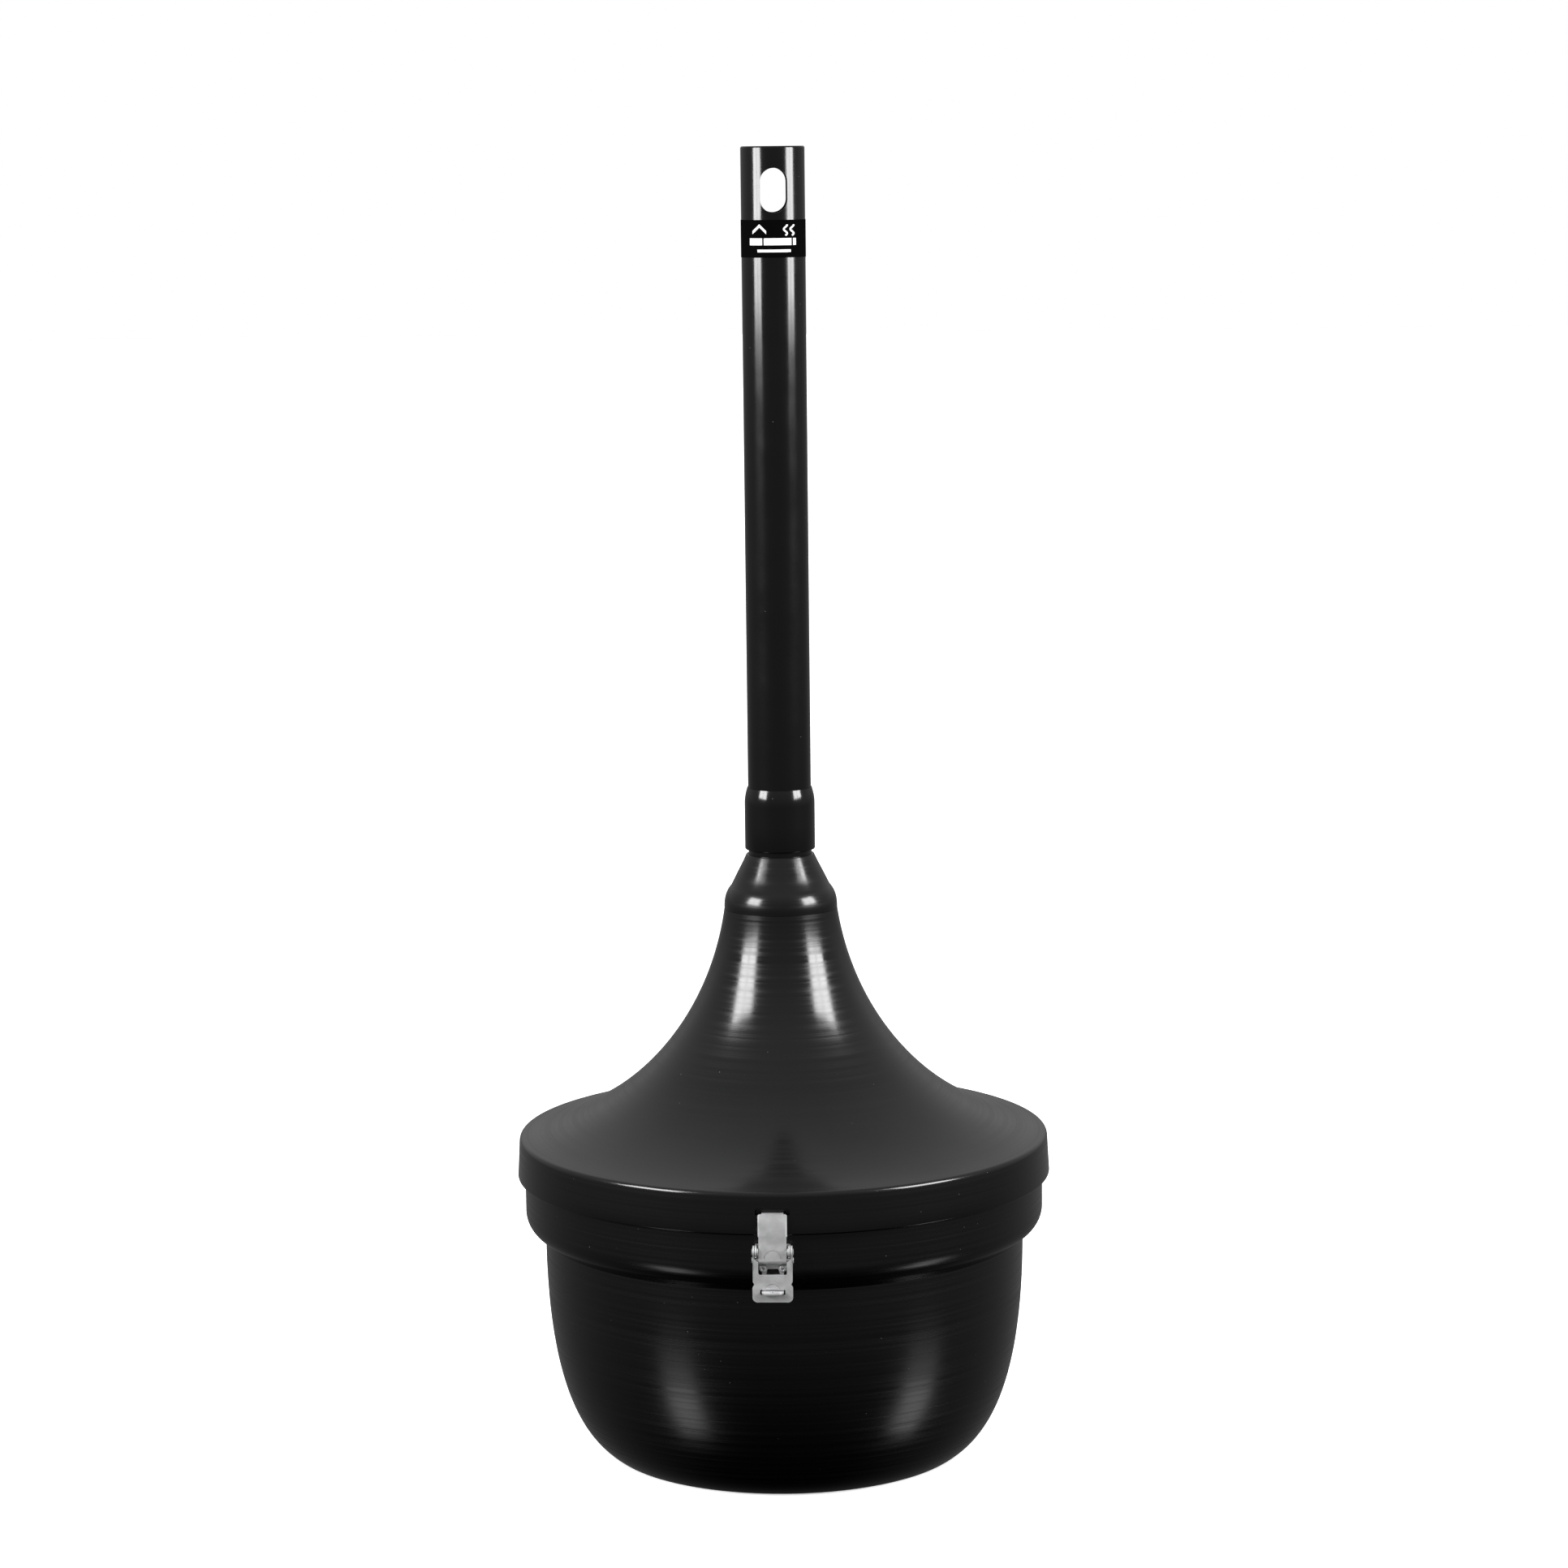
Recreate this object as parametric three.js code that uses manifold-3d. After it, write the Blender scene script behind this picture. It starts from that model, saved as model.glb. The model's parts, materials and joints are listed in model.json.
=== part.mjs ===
import * as THREE from 'three';
import { mergeVertices } from 'three/addons/utils/BufferGeometryUtils.js';
import Module from 'manifold-3d';

const wasm = await Module();
wasm.setup();

// Millimetres, +Z up, origin on the floor under the middle of the bowl, front latch towards -Y.
const RING_SIDES = 48;
const PIPE_SIDES = 32;
const PIN_SIDES = 12;
const SHEET = 2;

// Bowl
const FLOOR_RADIUS = 138.3;
const KICK_RADIUS = 56;
const KICK_HEIGHT = 6;
const WALL_TOP = [185.3, 170.4];
const BAND_RADIUS = 200.4;
const SHOULDER_ROUND = 17;
const SHOULDER_CENTRE = 190;
const RIM_BEAD = 2.8;
const RIM_CENTRE = 243.7;

// Ballast and its bolt
const BALLAST_RADIUS = 143;
const BALLAST_LOW = 8.3;
const BALLAST_HIGH = 18.3;
const BOLT_LOW = 2.2;
const BOLT_TIP = 28.2;
const BOLT_RADIUS = 5;
const BOLT_HEAD = 10;
const BOLT_HOLE = 5.3;
const NUT_RADIUS = 9.5;
const NUT_LOW = 18.6;
const NUT_HIGH = 26.6;

// Lid
const SKIRT_LOW = [205.9, 216.9];
const SKIRT_HIGH = [204.45, 244.6];
const LID_EDGE = [201.5, 248.6];
const NECK_TOP = [43.46, 424];
const SLOT_HALF_WIDTH = 12.7;
const SLOT_LOW = 231.8;
const SLOT_HIGH = 237;

// Pipework on the lid
const PIPE_RADIUS = 24.15;
const PIPE_BORE = 21.15;
const REDUCER_SPIGOT = 412;
const REDUCER_LOW = 424.3;
const REDUCER_TOP = 466;
const NIPPLE_LOW = 449;
const NIPPLE_TOP = 490;
const COUPLING_LOW = 469.8;
const COUPLING_TOP = 517.5;
const COUPLING_RADIUS = 26.9;
const TUBE_LOW = 490.6;
const TOTAL_HEIGHT = 1003.4;
const CAP_LOW = 991;
const CAP_TOP = 1002.9;
const HOLE_LOW = 953.9;
const HOLE_HIGH = 987.2;
const HOLE_WIDTH = 20.5;
const HOLE_TURN = THREE.MathUtils.degToRad(4);
const LABEL_LOW = 920.8;
const LABEL_HIGH = 948.8;

// Latch: y and z of the lever's pivot and of the hook's pin
const PIVOT = [-207, 205.2];
const HOOK_PIN = [-205.65, 198.6];
const LATCH_BACK = -200.7;
const LATCH_FRONT = -202.2;
const LATCH_HALF = 12.9;
const LATCH_TOP = 209.8;
const LATCH_GAUGE = 1.2;
const EAR_RADIUS = 4.6;
const EAR_LOW = 200.6;
const EYE_HALF = 8;
const EYE_LOW = 174.9;
const EYE_GAUGE = 1.5;
const EYE_ROUND = 5;
const PIVOT_HOLE = 1.9;
const PIN_HOLE = 1.75;
const RIVET_X = 7.15;
const RIVET_Z = 191.6;
const RIVET_HOLE = 2.3;
const LEVER_BACK = -209;
const LEVER_FRONT = -210.2;
const LEVER_HALF = 14.5;
const LEVER_TOP = 201.2;
const LEVER_CORNER = 3.7;
const NOTCH = 183;
const HOOK_BACK = -206.4;
const HOOK_FRONT = -207.6;
const HOOK_TOP = 233.3;
const HOOK_BEND = 214.2;
const HOOK_HALF = 10.75;
const HOOK_EYE_HALF = 10.2;
const TONGUE_HALF = 8;
const TONGUE_TIP = -201;

// Pail and its bail handle
const PAIL_RADIUS = 140;
const PAIL_LOW = 18.6;
const PAIL_FLOOR = 31;
const BAIL_Z = 212;
const BAIL_HALF = 154;
const BAIL_REACH = 158;
const BAIL_CORNER = 104;
const BAIL_WIRE = 2;
const BAIL_REST = THREE.MathUtils.degToRad(12);
const STRAP_INNER = 140.3;
const STRAP_OUTER = 148;
const STRAP_GAUGE = 1.5;
const STRAP_HALF = 10.5;
const STRAP_FOOT = 22;
const STRAP_RIVET_Y = 16;
const BAIL_HEAD = 143.2;

const PAINT = new THREE.MeshStandardMaterial({ color: 0x101012, metalness: 0.2, roughness: 0.3 });
const ZINC = new THREE.MeshStandardMaterial({ color: 0xa9abae, metalness: 0.9, roughness: 0.4 });
const GALVANISED = new THREE.MeshStandardMaterial({ color: 0x8f9496, metalness: 0.8, roughness: 0.5 });
const IRON = new THREE.MeshStandardMaterial({ color: 0x3a3a3c, metalness: 0.6, roughness: 0.8 });
const LABEL = new THREE.MeshStandardMaterial({ color: 0x050505, metalness: 0, roughness: 0.5 });
const GRIP = new THREE.MeshStandardMaterial({ color: 0x2b2b2b, metalness: 0, roughness: 0.7 });

// ---- solids ----

// Merges shared corners, drops slivers and turns every face outward, so that the mesh is closed.
function weld(geometry) {
  const bare = new THREE.BufferGeometry();
  bare.setAttribute('position', geometry.getAttribute('position'));
  if (geometry.index) {
    bare.setIndex(geometry.index);
  }
  const merged = mergeVertices(bare, 1e-4);
  const position = merged.getAttribute('position');
  const index = merged.index.array;
  const kept = [];
  const corner = [new THREE.Vector3(), new THREE.Vector3(), new THREE.Vector3()];
  let volume = 0;
  for (let i = 0; i < index.length; i += 3) {
    const face = [index[i], index[i + 1], index[i + 2]];
    if (face[0] !== face[1] && face[1] !== face[2] && face[2] !== face[0]) {
      kept.push(face);
      corner.forEach((v, k) => v.fromBufferAttribute(position, face[k]));
      volume += corner[0].dot(corner[1].clone().cross(corner[2]));
    }
  }
  const outward = volume > 0 ? kept : kept.map(([a, b, c]) => [a, c, b]);
  merged.setIndex(outward.flat());
  return merged;
}

function solid(geometry) {
  const welded = weld(geometry);
  const mesh = new wasm.Mesh({
    numProp: 3,
    vertProperties: new Float32Array(welded.getAttribute('position').array),
    triVerts: new Uint32Array(welded.index.array),
  });
  return new wasm.Manifold(mesh);
}

function surface(body) {
  const mesh = body.getMesh();
  const geometry = new THREE.BufferGeometry();
  geometry.setAttribute('position', new THREE.BufferAttribute(new Float32Array(mesh.vertProperties), 3));
  geometry.setIndex(Array.from(mesh.triVerts));
  return geometry;
}

function join(...bodies) {
  return bodies.reduce((whole, body) => whole.add(body));
}

function cut(body, ...tools) {
  return tools.reduce((whole, tool) => whole.subtract(tool), body);
}

// ---- outlines ----

function arc(centre, radius, fromDeg, toDeg, steps) {
  return Array.from({ length: steps + 1 }, (_, i) => {
    const angle = THREE.MathUtils.degToRad(fromDeg + ((toDeg - fromDeg) * i) / steps);
    return [centre[0] + radius * Math.cos(angle), centre[1] + radius * Math.sin(angle)];
  });
}

function curve(steps, ...handles) {
  const Bezier = handles.length === 3 ? THREE.QuadraticBezierCurve : THREE.CubicBezierCurve;
  const line = new Bezier(...handles.map(([r, z]) => new THREE.Vector2(r, z)));
  return line.getPoints(steps).map((p) => [p.x, p.y]);
}

// The same line moved sideways by a distance, to its left.
function beside(line, distance) {
  const left = (a, b) => {
    const length = Math.hypot(b[0] - a[0], b[1] - a[1]);
    return [-(b[1] - a[1]) / length, (b[0] - a[0]) / length];
  };
  return line.map((point, i) => {
    const before = i > 0 ? left(line[i - 1], point) : left(point, line[i + 1]);
    const after = i < line.length - 1 ? left(point, line[i + 1]) : before;
    const spread = 1 + before[0] * after[0] + before[1] * after[1];
    return [
      point[0] + (distance * (before[0] + after[0])) / spread,
      point[1] + (distance * (before[1] + after[1])) / spread,
    ];
  });
}

// A solid of revolution about Z from a closed outline, or from one that starts and ends on the axis.
function turned(outline, sides) {
  const onAxis = outline[0][0] === 0;
  const closed = onAxis ? outline : [...outline, outline[0]];
  const geometry = new THREE.LatheGeometry(closed.map(([r, z]) => new THREE.Vector2(r, z)), sides);
  geometry.rotateX(Math.PI / 2);
  return solid(geometry);
}

function shapeOf(points, holes = []) {
  const shape = new THREE.Shape(points.map(([x, y]) => new THREE.Vector2(x, y)));
  shape.holes = holes.map((hole) => new THREE.Path(hole.map(([x, y]) => new THREE.Vector2(x, y))));
  return shape;
}

function extruded(shape, thickness) {
  return new THREE.ExtrudeGeometry(shape, { depth: thickness, bevelEnabled: false });
}

// Plates of constant thickness: outline in (x, z), (y, z) or (x, y).
function plateXZ(shape, yInner, yOuter) {
  const geometry = extruded(shape, yInner - yOuter);
  geometry.rotateX(Math.PI / 2);
  geometry.translate(0, yInner, 0);
  return solid(geometry);
}

function plateYZ(shape, xLow, xHigh) {
  const geometry = extruded(shape, xHigh - xLow);
  const axes = [new THREE.Vector3(0, 1, 0), new THREE.Vector3(0, 0, 1), new THREE.Vector3(1, 0, 0)];
  geometry.applyMatrix4(new THREE.Matrix4().makeBasis(...axes));
  geometry.translate(xLow, 0, 0);
  return solid(geometry);
}

function plateXY(shape, zLow, zHigh) {
  const geometry = extruded(shape, zHigh - zLow);
  geometry.translate(0, 0, zLow);
  return solid(geometry);
}

function box(low, high) {
  const geometry = new THREE.BoxGeometry(high[0] - low[0], high[1] - low[1], high[2] - low[2]);
  geometry.translate((low[0] + high[0]) / 2, (low[1] + high[1]) / 2, (low[2] + high[2]) / 2);
  return solid(geometry);
}

// A turned piece whose outline is (radius, distance along the axis), laid along +X or -Y.
function alongX(outline, y, z, mirror = false) {
  const body = turned(outline, PIN_SIDES);
  return body.rotate([0, mirror ? -90 : 90, 0]).translate([0, y, z]);
}

function alongFront(outline, x, z) {
  return turned(outline, PIN_SIDES).rotate([90, 0, 0]).translate([x, 0, z]);
}

function bar(radius, low, high) {
  return [[0, low], [radius, low], [radius, high], [0, high]];
}

// A round wire along a flat path.
function wire(path, flatNormal, radius, sides) {
  const positions = [];
  const index = [];
  path.forEach((point, i) => {
    const into = point.clone().sub(path[Math.max(i - 1, 0)]).normalize();
    const out = path[Math.min(i + 1, path.length - 1)].clone().sub(point).normalize();
    const along = into.clone().add(out).normalize();
    const bend = i > 0 && i < path.length - 1 ? into.dot(along) : 1;
    const side = new THREE.Vector3().crossVectors(flatNormal, along).divideScalar(bend);
    for (let k = 0; k < sides; k += 1) {
      const angle = (2 * Math.PI * k) / sides;
      const ring = point.clone().addScaledVector(flatNormal, radius * Math.cos(angle));
      ring.addScaledVector(side, radius * Math.sin(angle));
      positions.push(ring.x, ring.y, ring.z);
    }
  });
  for (let i = 0; i < path.length - 1; i += 1) {
    for (let k = 0; k < sides; k += 1) {
      const a = i * sides + k;
      const b = i * sides + ((k + 1) % sides);
      index.push(a, b, b + sides, a, b + sides, a + sides);
    }
  }
  const last = (path.length - 1) * sides;
  for (let k = 1; k < sides - 1; k += 1) {
    index.push(0, k + 1, k, last, last + k, last + k + 1);
  }
  const geometry = new THREE.BufferGeometry();
  geometry.setAttribute('position', new THREE.Float32BufferAttribute(positions, 3));
  geometry.setIndex(index);
  return solid(geometry);
}

// ---- bowl ----

function bowlShell() {
  const centre = [BAND_RADIUS - SHOULDER_ROUND, SHOULDER_CENTRE];
  const outside = [
    [BOLT_HOLE, KICK_HEIGHT],
    [KICK_RADIUS, KICK_HEIGHT],
    [KICK_RADIUS + 10, 0],
    ...curve(9, [FLOOR_RADIUS, 0], [170.5, 20.3], [185.6, 80], WALL_TOP),
    ...arc(centre, SHOULDER_ROUND, -55, 0, 4),
    [BAND_RADIUS, RIM_CENTRE],
  ];
  const inside = beside(outside, SHEET).slice(0, -1).reverse();
  const bead = arc([BAND_RADIUS - RIM_BEAD, RIM_CENTRE], RIM_BEAD, 0, 270, 6).slice(1);
  inside.unshift([BAND_RADIUS - SHEET, RIM_CENTRE - RIM_BEAD]);
  const shell = turned([...outside, ...bead, ...inside], RING_SIDES);
  const holes = [];
  for (const x of [-RIVET_X, RIVET_X]) {
    holes.push(alongFront(bar(RIVET_HOLE, 190, 210), x, RIVET_Z));
    holes.push(alongFront(bar(RIVET_HOLE, -210, -190), x, RIVET_Z));
  }
  return cut(shell, ...holes);
}

function ballastDisc() {
  const edge = 1.5;
  return turned([
    [BOLT_HOLE, BALLAST_LOW],
    [BALLAST_RADIUS - edge, BALLAST_LOW],
    [BALLAST_RADIUS, BALLAST_LOW + edge],
    [BALLAST_RADIUS, BALLAST_HIGH - edge],
    [BALLAST_RADIUS - edge, BALLAST_HIGH],
    [BOLT_HOLE, BALLAST_HIGH],
  ], RING_SIDES);
}

function ballastBolt() {
  return turned([
    [0, BOLT_LOW],
    [BOLT_HEAD - 3, BOLT_LOW],
    [BOLT_HEAD, BOLT_LOW + 1.4],
    [BOLT_HEAD, BOLT_LOW + 3.5],
    [BOLT_RADIUS, BOLT_LOW + 3.5],
    [BOLT_RADIUS, BOLT_TIP - 0.8],
    [BOLT_RADIUS - 0.8, BOLT_TIP],
    [0, BOLT_TIP],
  ], PIN_SIDES);
}

function ballastNut() {
  const flats = arc([0, 0], NUT_RADIUS, 0, 300, 5);
  const hole = arc([0, 0], BOLT_HOLE, 0, 330, 11);
  return plateXY(shapeOf(flats, [hole]), NUT_LOW, NUT_HIGH);
}

// ---- lid ----

function lidBell() {
  const outside = [
    SKIRT_LOW,
    ...curve(3, SKIRT_HIGH, [204.3, 248.1], LID_EDGE),
    ...curve(12, LID_EDGE, [121, 265.2], [57, 332.2], NECK_TOP).slice(1),
  ];
  const inside = beside(outside, SHEET).reverse();
  const bell = turned([...outside, ...inside], RING_SIDES);
  const front = box([-SLOT_HALF_WIDTH, -212, SLOT_LOW], [SLOT_HALF_WIDTH, -195, SLOT_HIGH]);
  const rear = box([-SLOT_HALF_WIDTH, 195, SLOT_LOW], [SLOT_HALF_WIDTH, 212, SLOT_HIGH]);
  return cut(bell, front, rear);
}

function neckReducer() {
  const bore = PIPE_RADIUS + 0.3;
  const spigot = 41;
  return turned([
    [spigot - 3, REDUCER_SPIGOT],
    [spigot, REDUCER_SPIGOT],
    [spigot, REDUCER_LOW],
    [43.6, REDUCER_LOW],
    ...curve(4, [43.1, 428], [42.6, 434], [38.7, 440]),
    [26, REDUCER_TOP],
    [bore, REDUCER_TOP],
    [bore, 452],
    [spigot - 3, 432],
  ], PIPE_SIDES);
}

function neckNipple() {
  return turned([
    [PIPE_BORE, NIPPLE_LOW],
    [PIPE_RADIUS, NIPPLE_LOW],
    [PIPE_RADIUS, NIPPLE_TOP],
    [PIPE_BORE, NIPPLE_TOP],
  ], PIPE_SIDES);
}

function tubeCoupling() {
  const bore = PIPE_RADIUS + 0.2;
  return turned([
    [bore, COUPLING_LOW],
    [COUPLING_RADIUS - 1, COUPLING_LOW],
    [COUPLING_RADIUS, COUPLING_LOW + 1],
    ...curve(4, [COUPLING_RADIUS, 506], [COUPLING_RADIUS, 515], [bore + 0.5, COUPLING_TOP]),
    [bore, COUPLING_TOP],
  ], PIPE_SIDES);
}

function intakeTube() {
  const lip = 1.5;
  const tube = turned([
    [PIPE_BORE, TUBE_LOW],
    [PIPE_RADIUS, TUBE_LOW],
    ...arc([PIPE_RADIUS - lip, TOTAL_HEIGHT - lip], lip, 0, 90, 2),
    [PIPE_BORE, TOTAL_HEIGHT],
  ], PIPE_SIDES);
  const half = HOLE_WIDTH / 2;
  const outline = [
    ...arc([0, HOLE_HIGH - half], half, 0, 180, 8),
    ...arc([0, HOLE_LOW + half], half, 180, 360, 8),
  ];
  const punch = plateXZ(shapeOf(outline), 40, -40);
  return cut(tube, punch.rotate([0, 0, THREE.MathUtils.radToDeg(HOLE_TURN)]));
}

function tubeCap() {
  const radius = PIPE_BORE - 0.3;
  return turned([
    [0, CAP_TOP - SHEET],
    [radius - SHEET, CAP_TOP - SHEET],
    [radius - SHEET, CAP_LOW],
    [radius, CAP_LOW],
    [radius, CAP_TOP - 0.9],
    [radius - 0.9, CAP_TOP],
    [0, CAP_TOP],
  ], PIPE_SIDES);
}

function tubeLabel() {
  const inner = PIPE_RADIUS + 0.05;
  const outer = PIPE_RADIUS + 0.35;
  return turned([
    [inner, LABEL_LOW],
    [outer, LABEL_LOW],
    [outer, LABEL_HIGH],
    [inner, LABEL_HIGH],
  ], PIPE_SIDES);
}

// ---- latch, drawn for the front ----

function latchBase() {
  const waist = 10.1;
  const window = [[-5.2, 187], [5.2, 187], [3.9, 191.2], [-3.9, 191.2]];
  const plate = shapeOf([
    [-EYE_HALF, EYE_LOW],
    [EYE_HALF, EYE_LOW],
    [EYE_HALF, RIVET_Z - 4],
    [waist, RIVET_Z - 2],
    [waist, EAR_LOW - 1.6],
    [LATCH_HALF, EAR_LOW],
    [LATCH_HALF, LATCH_TOP],
    [-LATCH_HALF, LATCH_TOP],
    [-LATCH_HALF, EAR_LOW],
    [-waist, EAR_LOW - 1.6],
    [-waist, RIVET_Z - 2],
    [-EYE_HALF, RIVET_Z - 4],
  ], [window]);
  const ear = shapeOf([
    [LATCH_BACK - 0.4, EAR_LOW],
    ...arc(PIVOT, EAR_RADIUS, 270, 90, 6),
    [LATCH_BACK - 0.4, LATCH_TOP],
  ]);
  const corner = [EYE_HALF - EYE_ROUND, LATCH_BACK - 10];
  const eye = shapeOf([
    [-EYE_HALF, LATCH_BACK],
    ...arc([-corner[0], corner[1]], EYE_ROUND, 180, 270, 3),
    ...arc(corner, EYE_ROUND, 270, 360, 3),
    [EYE_HALF, LATCH_BACK],
  ], [arc([0, LATCH_BACK - 11.9], 1.9, 0, 330, 11)]);
  const whole = join(
    plateXZ(plate, LATCH_BACK, LATCH_FRONT),
    plateYZ(ear, -LATCH_HALF, LATCH_GAUGE - LATCH_HALF),
    plateYZ(ear, LATCH_HALF - LATCH_GAUGE, LATCH_HALF),
    plateXY(eye, EYE_LOW, EYE_LOW + EYE_GAUGE),
  );
  const rivets = [-RIVET_X, RIVET_X].map((x) => alongFront(bar(RIVET_HOLE, 198, 206), x, RIVET_Z));
  return cut(whole, ...rivets, alongX(bar(PIVOT_HOLE, -20, 20), ...PIVOT));
}

// From its tail inside the bowl to the open head on the base plate.
function latchRivet(x) {
  return alongFront([
    [0, 194.9],
    [2.7, 195.6],
    [2.7, 197.3],
    [2, 197.3],
    [2, 202.5],
    [2.8, 202.5],
    [2, 203.6],
    [0.9, 203.8],
    [0.9, 201.6],
    [0, 201.6],
  ], x, RIVET_Z);
}

// From its tail inside the ear to the head outside the cheek.
function leverPivot(mirror) {
  const tail = LATCH_HALF - LATCH_GAUGE - 0.3;
  const head = LEVER_HALF + 0.3;
  return alongX([
    [0, tail - 0.7],
    [2.8, tail - 0.7],
    [2.8, tail],
    [1.6, tail],
    [1.6, head],
    [2.5, head],
    [2.2, head + 0.45],
    [0, head + 0.45],
  ], ...PIVOT, mirror);
}

function latchLever() {
  const edge = LEVER_HALF + 0.3;
  const corner = [edge - LEVER_CORNER, 171.8];
  const window = [8.5, 190.5];
  const slot = [
    ...arc([7.1, 175.6], 2.1, -90, 90, 4),
    ...arc([-7.1, 175.6], 2.1, 90, 270, 4),
  ];
  const face = shapeOf([
    ...arc(corner, LEVER_CORNER, 270, 360, 3),
    [edge, NOTCH - 0.5],
    [LEVER_HALF, NOTCH],
    [LEVER_HALF, LEVER_TOP],
    [LATCH_HALF + 0.4, LEVER_TOP - 1.2],
    [10.5, LEVER_TOP - 3.3],
    ...arc(window, 2, 0, -90, 2),
    ...arc([-window[0], window[1]], 2, 270, 180, 2),
    [-10.5, LEVER_TOP - 3.3],
    [-LATCH_HALF - 0.4, LEVER_TOP - 1.2],
    [-LEVER_HALF, LEVER_TOP],
    [-LEVER_HALF, NOTCH],
    [-edge, NOTCH - 0.5],
    ...arc([-corner[0], corner[1]], LEVER_CORNER, 180, 270, 3),
  ], [slot]);
  const cheek = shapeOf([
    [LEVER_FRONT, NOTCH + 1],
    [-207, NOTCH + 1],
    [-206.4, 190],
    [-203.2, 195.9],
    ...arc(HOOK_PIN, 3.2, -30, 10, 2),
    ...arc(PIVOT, EAR_RADIUS, 0, 200, 8),
    [LEVER_FRONT, LEVER_TOP],
  ]);
  const whole = join(
    plateXZ(face, LEVER_BACK, LEVER_FRONT),
    plateYZ(cheek, -LEVER_HALF, LATCH_GAUGE - LEVER_HALF),
    plateYZ(cheek, LEVER_HALF - LATCH_GAUGE, LEVER_HALF),
  );
  const pivotHole = alongX(bar(PIVOT_HOLE, -20, 20), ...PIVOT);
  return cut(whole, pivotHole, alongX(bar(PIN_HOLE, -20, 20), ...HOOK_PIN));
}

function hookPin() {
  const shank = LEVER_HALF + 0.3;
  const end = shank + 0.45;
  return alongX([
    [0, -end],
    [2.2, -end],
    [2.2, -shank],
    [1.5, -shank],
    [1.5, shank],
    [2.2, shank],
    [2.2, end],
    [0, end],
  ], ...HOOK_PIN);
}

function latchHook() {
  const [y, z] = HOOK_PIN;
  const round = 1.6;
  const eye = 2.8;
  const corner = [HOOK_HALF - round, HOOK_TOP - round];
  const strap = shapeOf([
    [-HOOK_HALF, HOOK_BEND - 0.3],
    [HOOK_HALF, HOOK_BEND - 0.3],
    ...arc(corner, round, 0, 90, 3),
    ...arc([-corner[0], corner[1]], round, 90, 180, 3),
  ]);
  const leg = shapeOf([
    [HOOK_BACK, HOOK_BEND],
    [HOOK_FRONT, HOOK_BEND],
    [y - eye, z],
    [y - eye + LATCH_GAUGE, z],
  ]);
  const whole = join(
    plateXZ(strap, HOOK_BACK, HOOK_FRONT),
    plateYZ(leg, -HOOK_EYE_HALF, HOOK_EYE_HALF),
    alongX(bar(eye, -HOOK_EYE_HALF, HOOK_EYE_HALF), y, z),
    box([-TONGUE_HALF, HOOK_FRONT, HOOK_TOP - LATCH_GAUGE], [TONGUE_HALF, TONGUE_TIP, HOOK_TOP]),
  );
  return cut(whole, alongX(bar(PIN_HOLE, -20, 20), y, z));
}

// ---- pail ----

function pailShell() {
  const inner = PAIL_RADIUS - 1;
  const bead = [PAIL_RADIUS + 1.4, 229.4];
  const shell = turned([
    [0, PAIL_FLOOR],
    [inner, PAIL_FLOOR],
    [inner, PAIL_LOW],
    [PAIL_RADIUS, PAIL_LOW],
    [PAIL_RADIUS, bead[1] - 2.2],
    ...arc(bead, 2.5, -80, 160, 5),
    [inner, bead[1]],
    [inner, PAIL_FLOOR + 1],
    [0, PAIL_FLOOR + 1],
  ], RING_SIDES);
  const holes = [-STRAP_RIVET_Y, STRAP_RIVET_Y].map((y) => alongX(bar(1.8, -160, 160), y, BAIL_Z));
  return cut(shell, ...holes);
}

// The bridge-shaped strap on the pail's side that the bail handle hooks into.
function pailEar() {
  const low = BAIL_Z - 9;
  const high = BAIL_Z + 9;
  const leg = STRAP_HALF - STRAP_GAUGE;
  const foot = STRAP_INNER + STRAP_GAUGE;
  const whole = join(
    box([STRAP_OUTER - STRAP_GAUGE, -STRAP_HALF, low], [STRAP_OUTER, STRAP_HALF, high]),
    box([STRAP_INNER, -STRAP_HALF, low], [STRAP_OUTER, -leg, high]),
    box([STRAP_INNER, leg, low], [STRAP_OUTER, STRAP_HALF, high]),
    box([STRAP_INNER, -STRAP_FOOT, low + 2], [foot, -leg, high - 2]),
    box([STRAP_INNER, leg, low + 2], [foot, STRAP_FOOT, high - 2]),
  );
  const holes = [-STRAP_RIVET_Y, STRAP_RIVET_Y].map((y) => alongX(bar(1.8, 130, 160), y, BAIL_Z));
  return cut(whole, alongX(bar(BAIL_WIRE + 0.35, 144, 152), 0, BAIL_Z), ...holes);
}

function earRivet(y) {
  return alongX([
    [0, 135.7],
    [2.3, 136.2],
    [2.3, 137.4],
    [1.5, 137.4],
    [1.5, 142.1],
    [2.7, 142.1],
    [2, 143],
    [0, 143.2],
  ], y, BAIL_Z);
}

function bailWire() {
  const straight = BAIL_HALF - BAIL_CORNER;
  const legEnd = BAIL_REACH - BAIL_CORNER;
  const right = [[BAIL_HALF, 0], ...arc([straight, legEnd], BAIL_CORNER, 0, 90, 8)];
  const left = right.map(([u, v]) => [-u, v]).reverse();
  const away = new THREE.Vector3(0, -Math.cos(BAIL_REST), -Math.sin(BAIL_REST));
  const pivot = new THREE.Vector3(0, 0, BAIL_Z);
  const path = [...right, ...left].map(([u, v]) => {
    const point = pivot.clone().addScaledVector(away, v);
    point.x = u;
    return point;
  });
  const flat = new THREE.Vector3(1, 0, 0).cross(away);
  const ends = [false, true].flatMap((mirror) => [
    alongX(bar(BAIL_WIRE, BAIL_HEAD + 0.4, BAIL_HALF + BAIL_WIRE), 0, BAIL_Z, mirror),
    alongX(bar(3.2, BAIL_HEAD, BAIL_HEAD + 2), 0, BAIL_Z, mirror),
  ]);
  return join(wire(path, flat, BAIL_WIRE, 8), ...ends);
}

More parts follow.
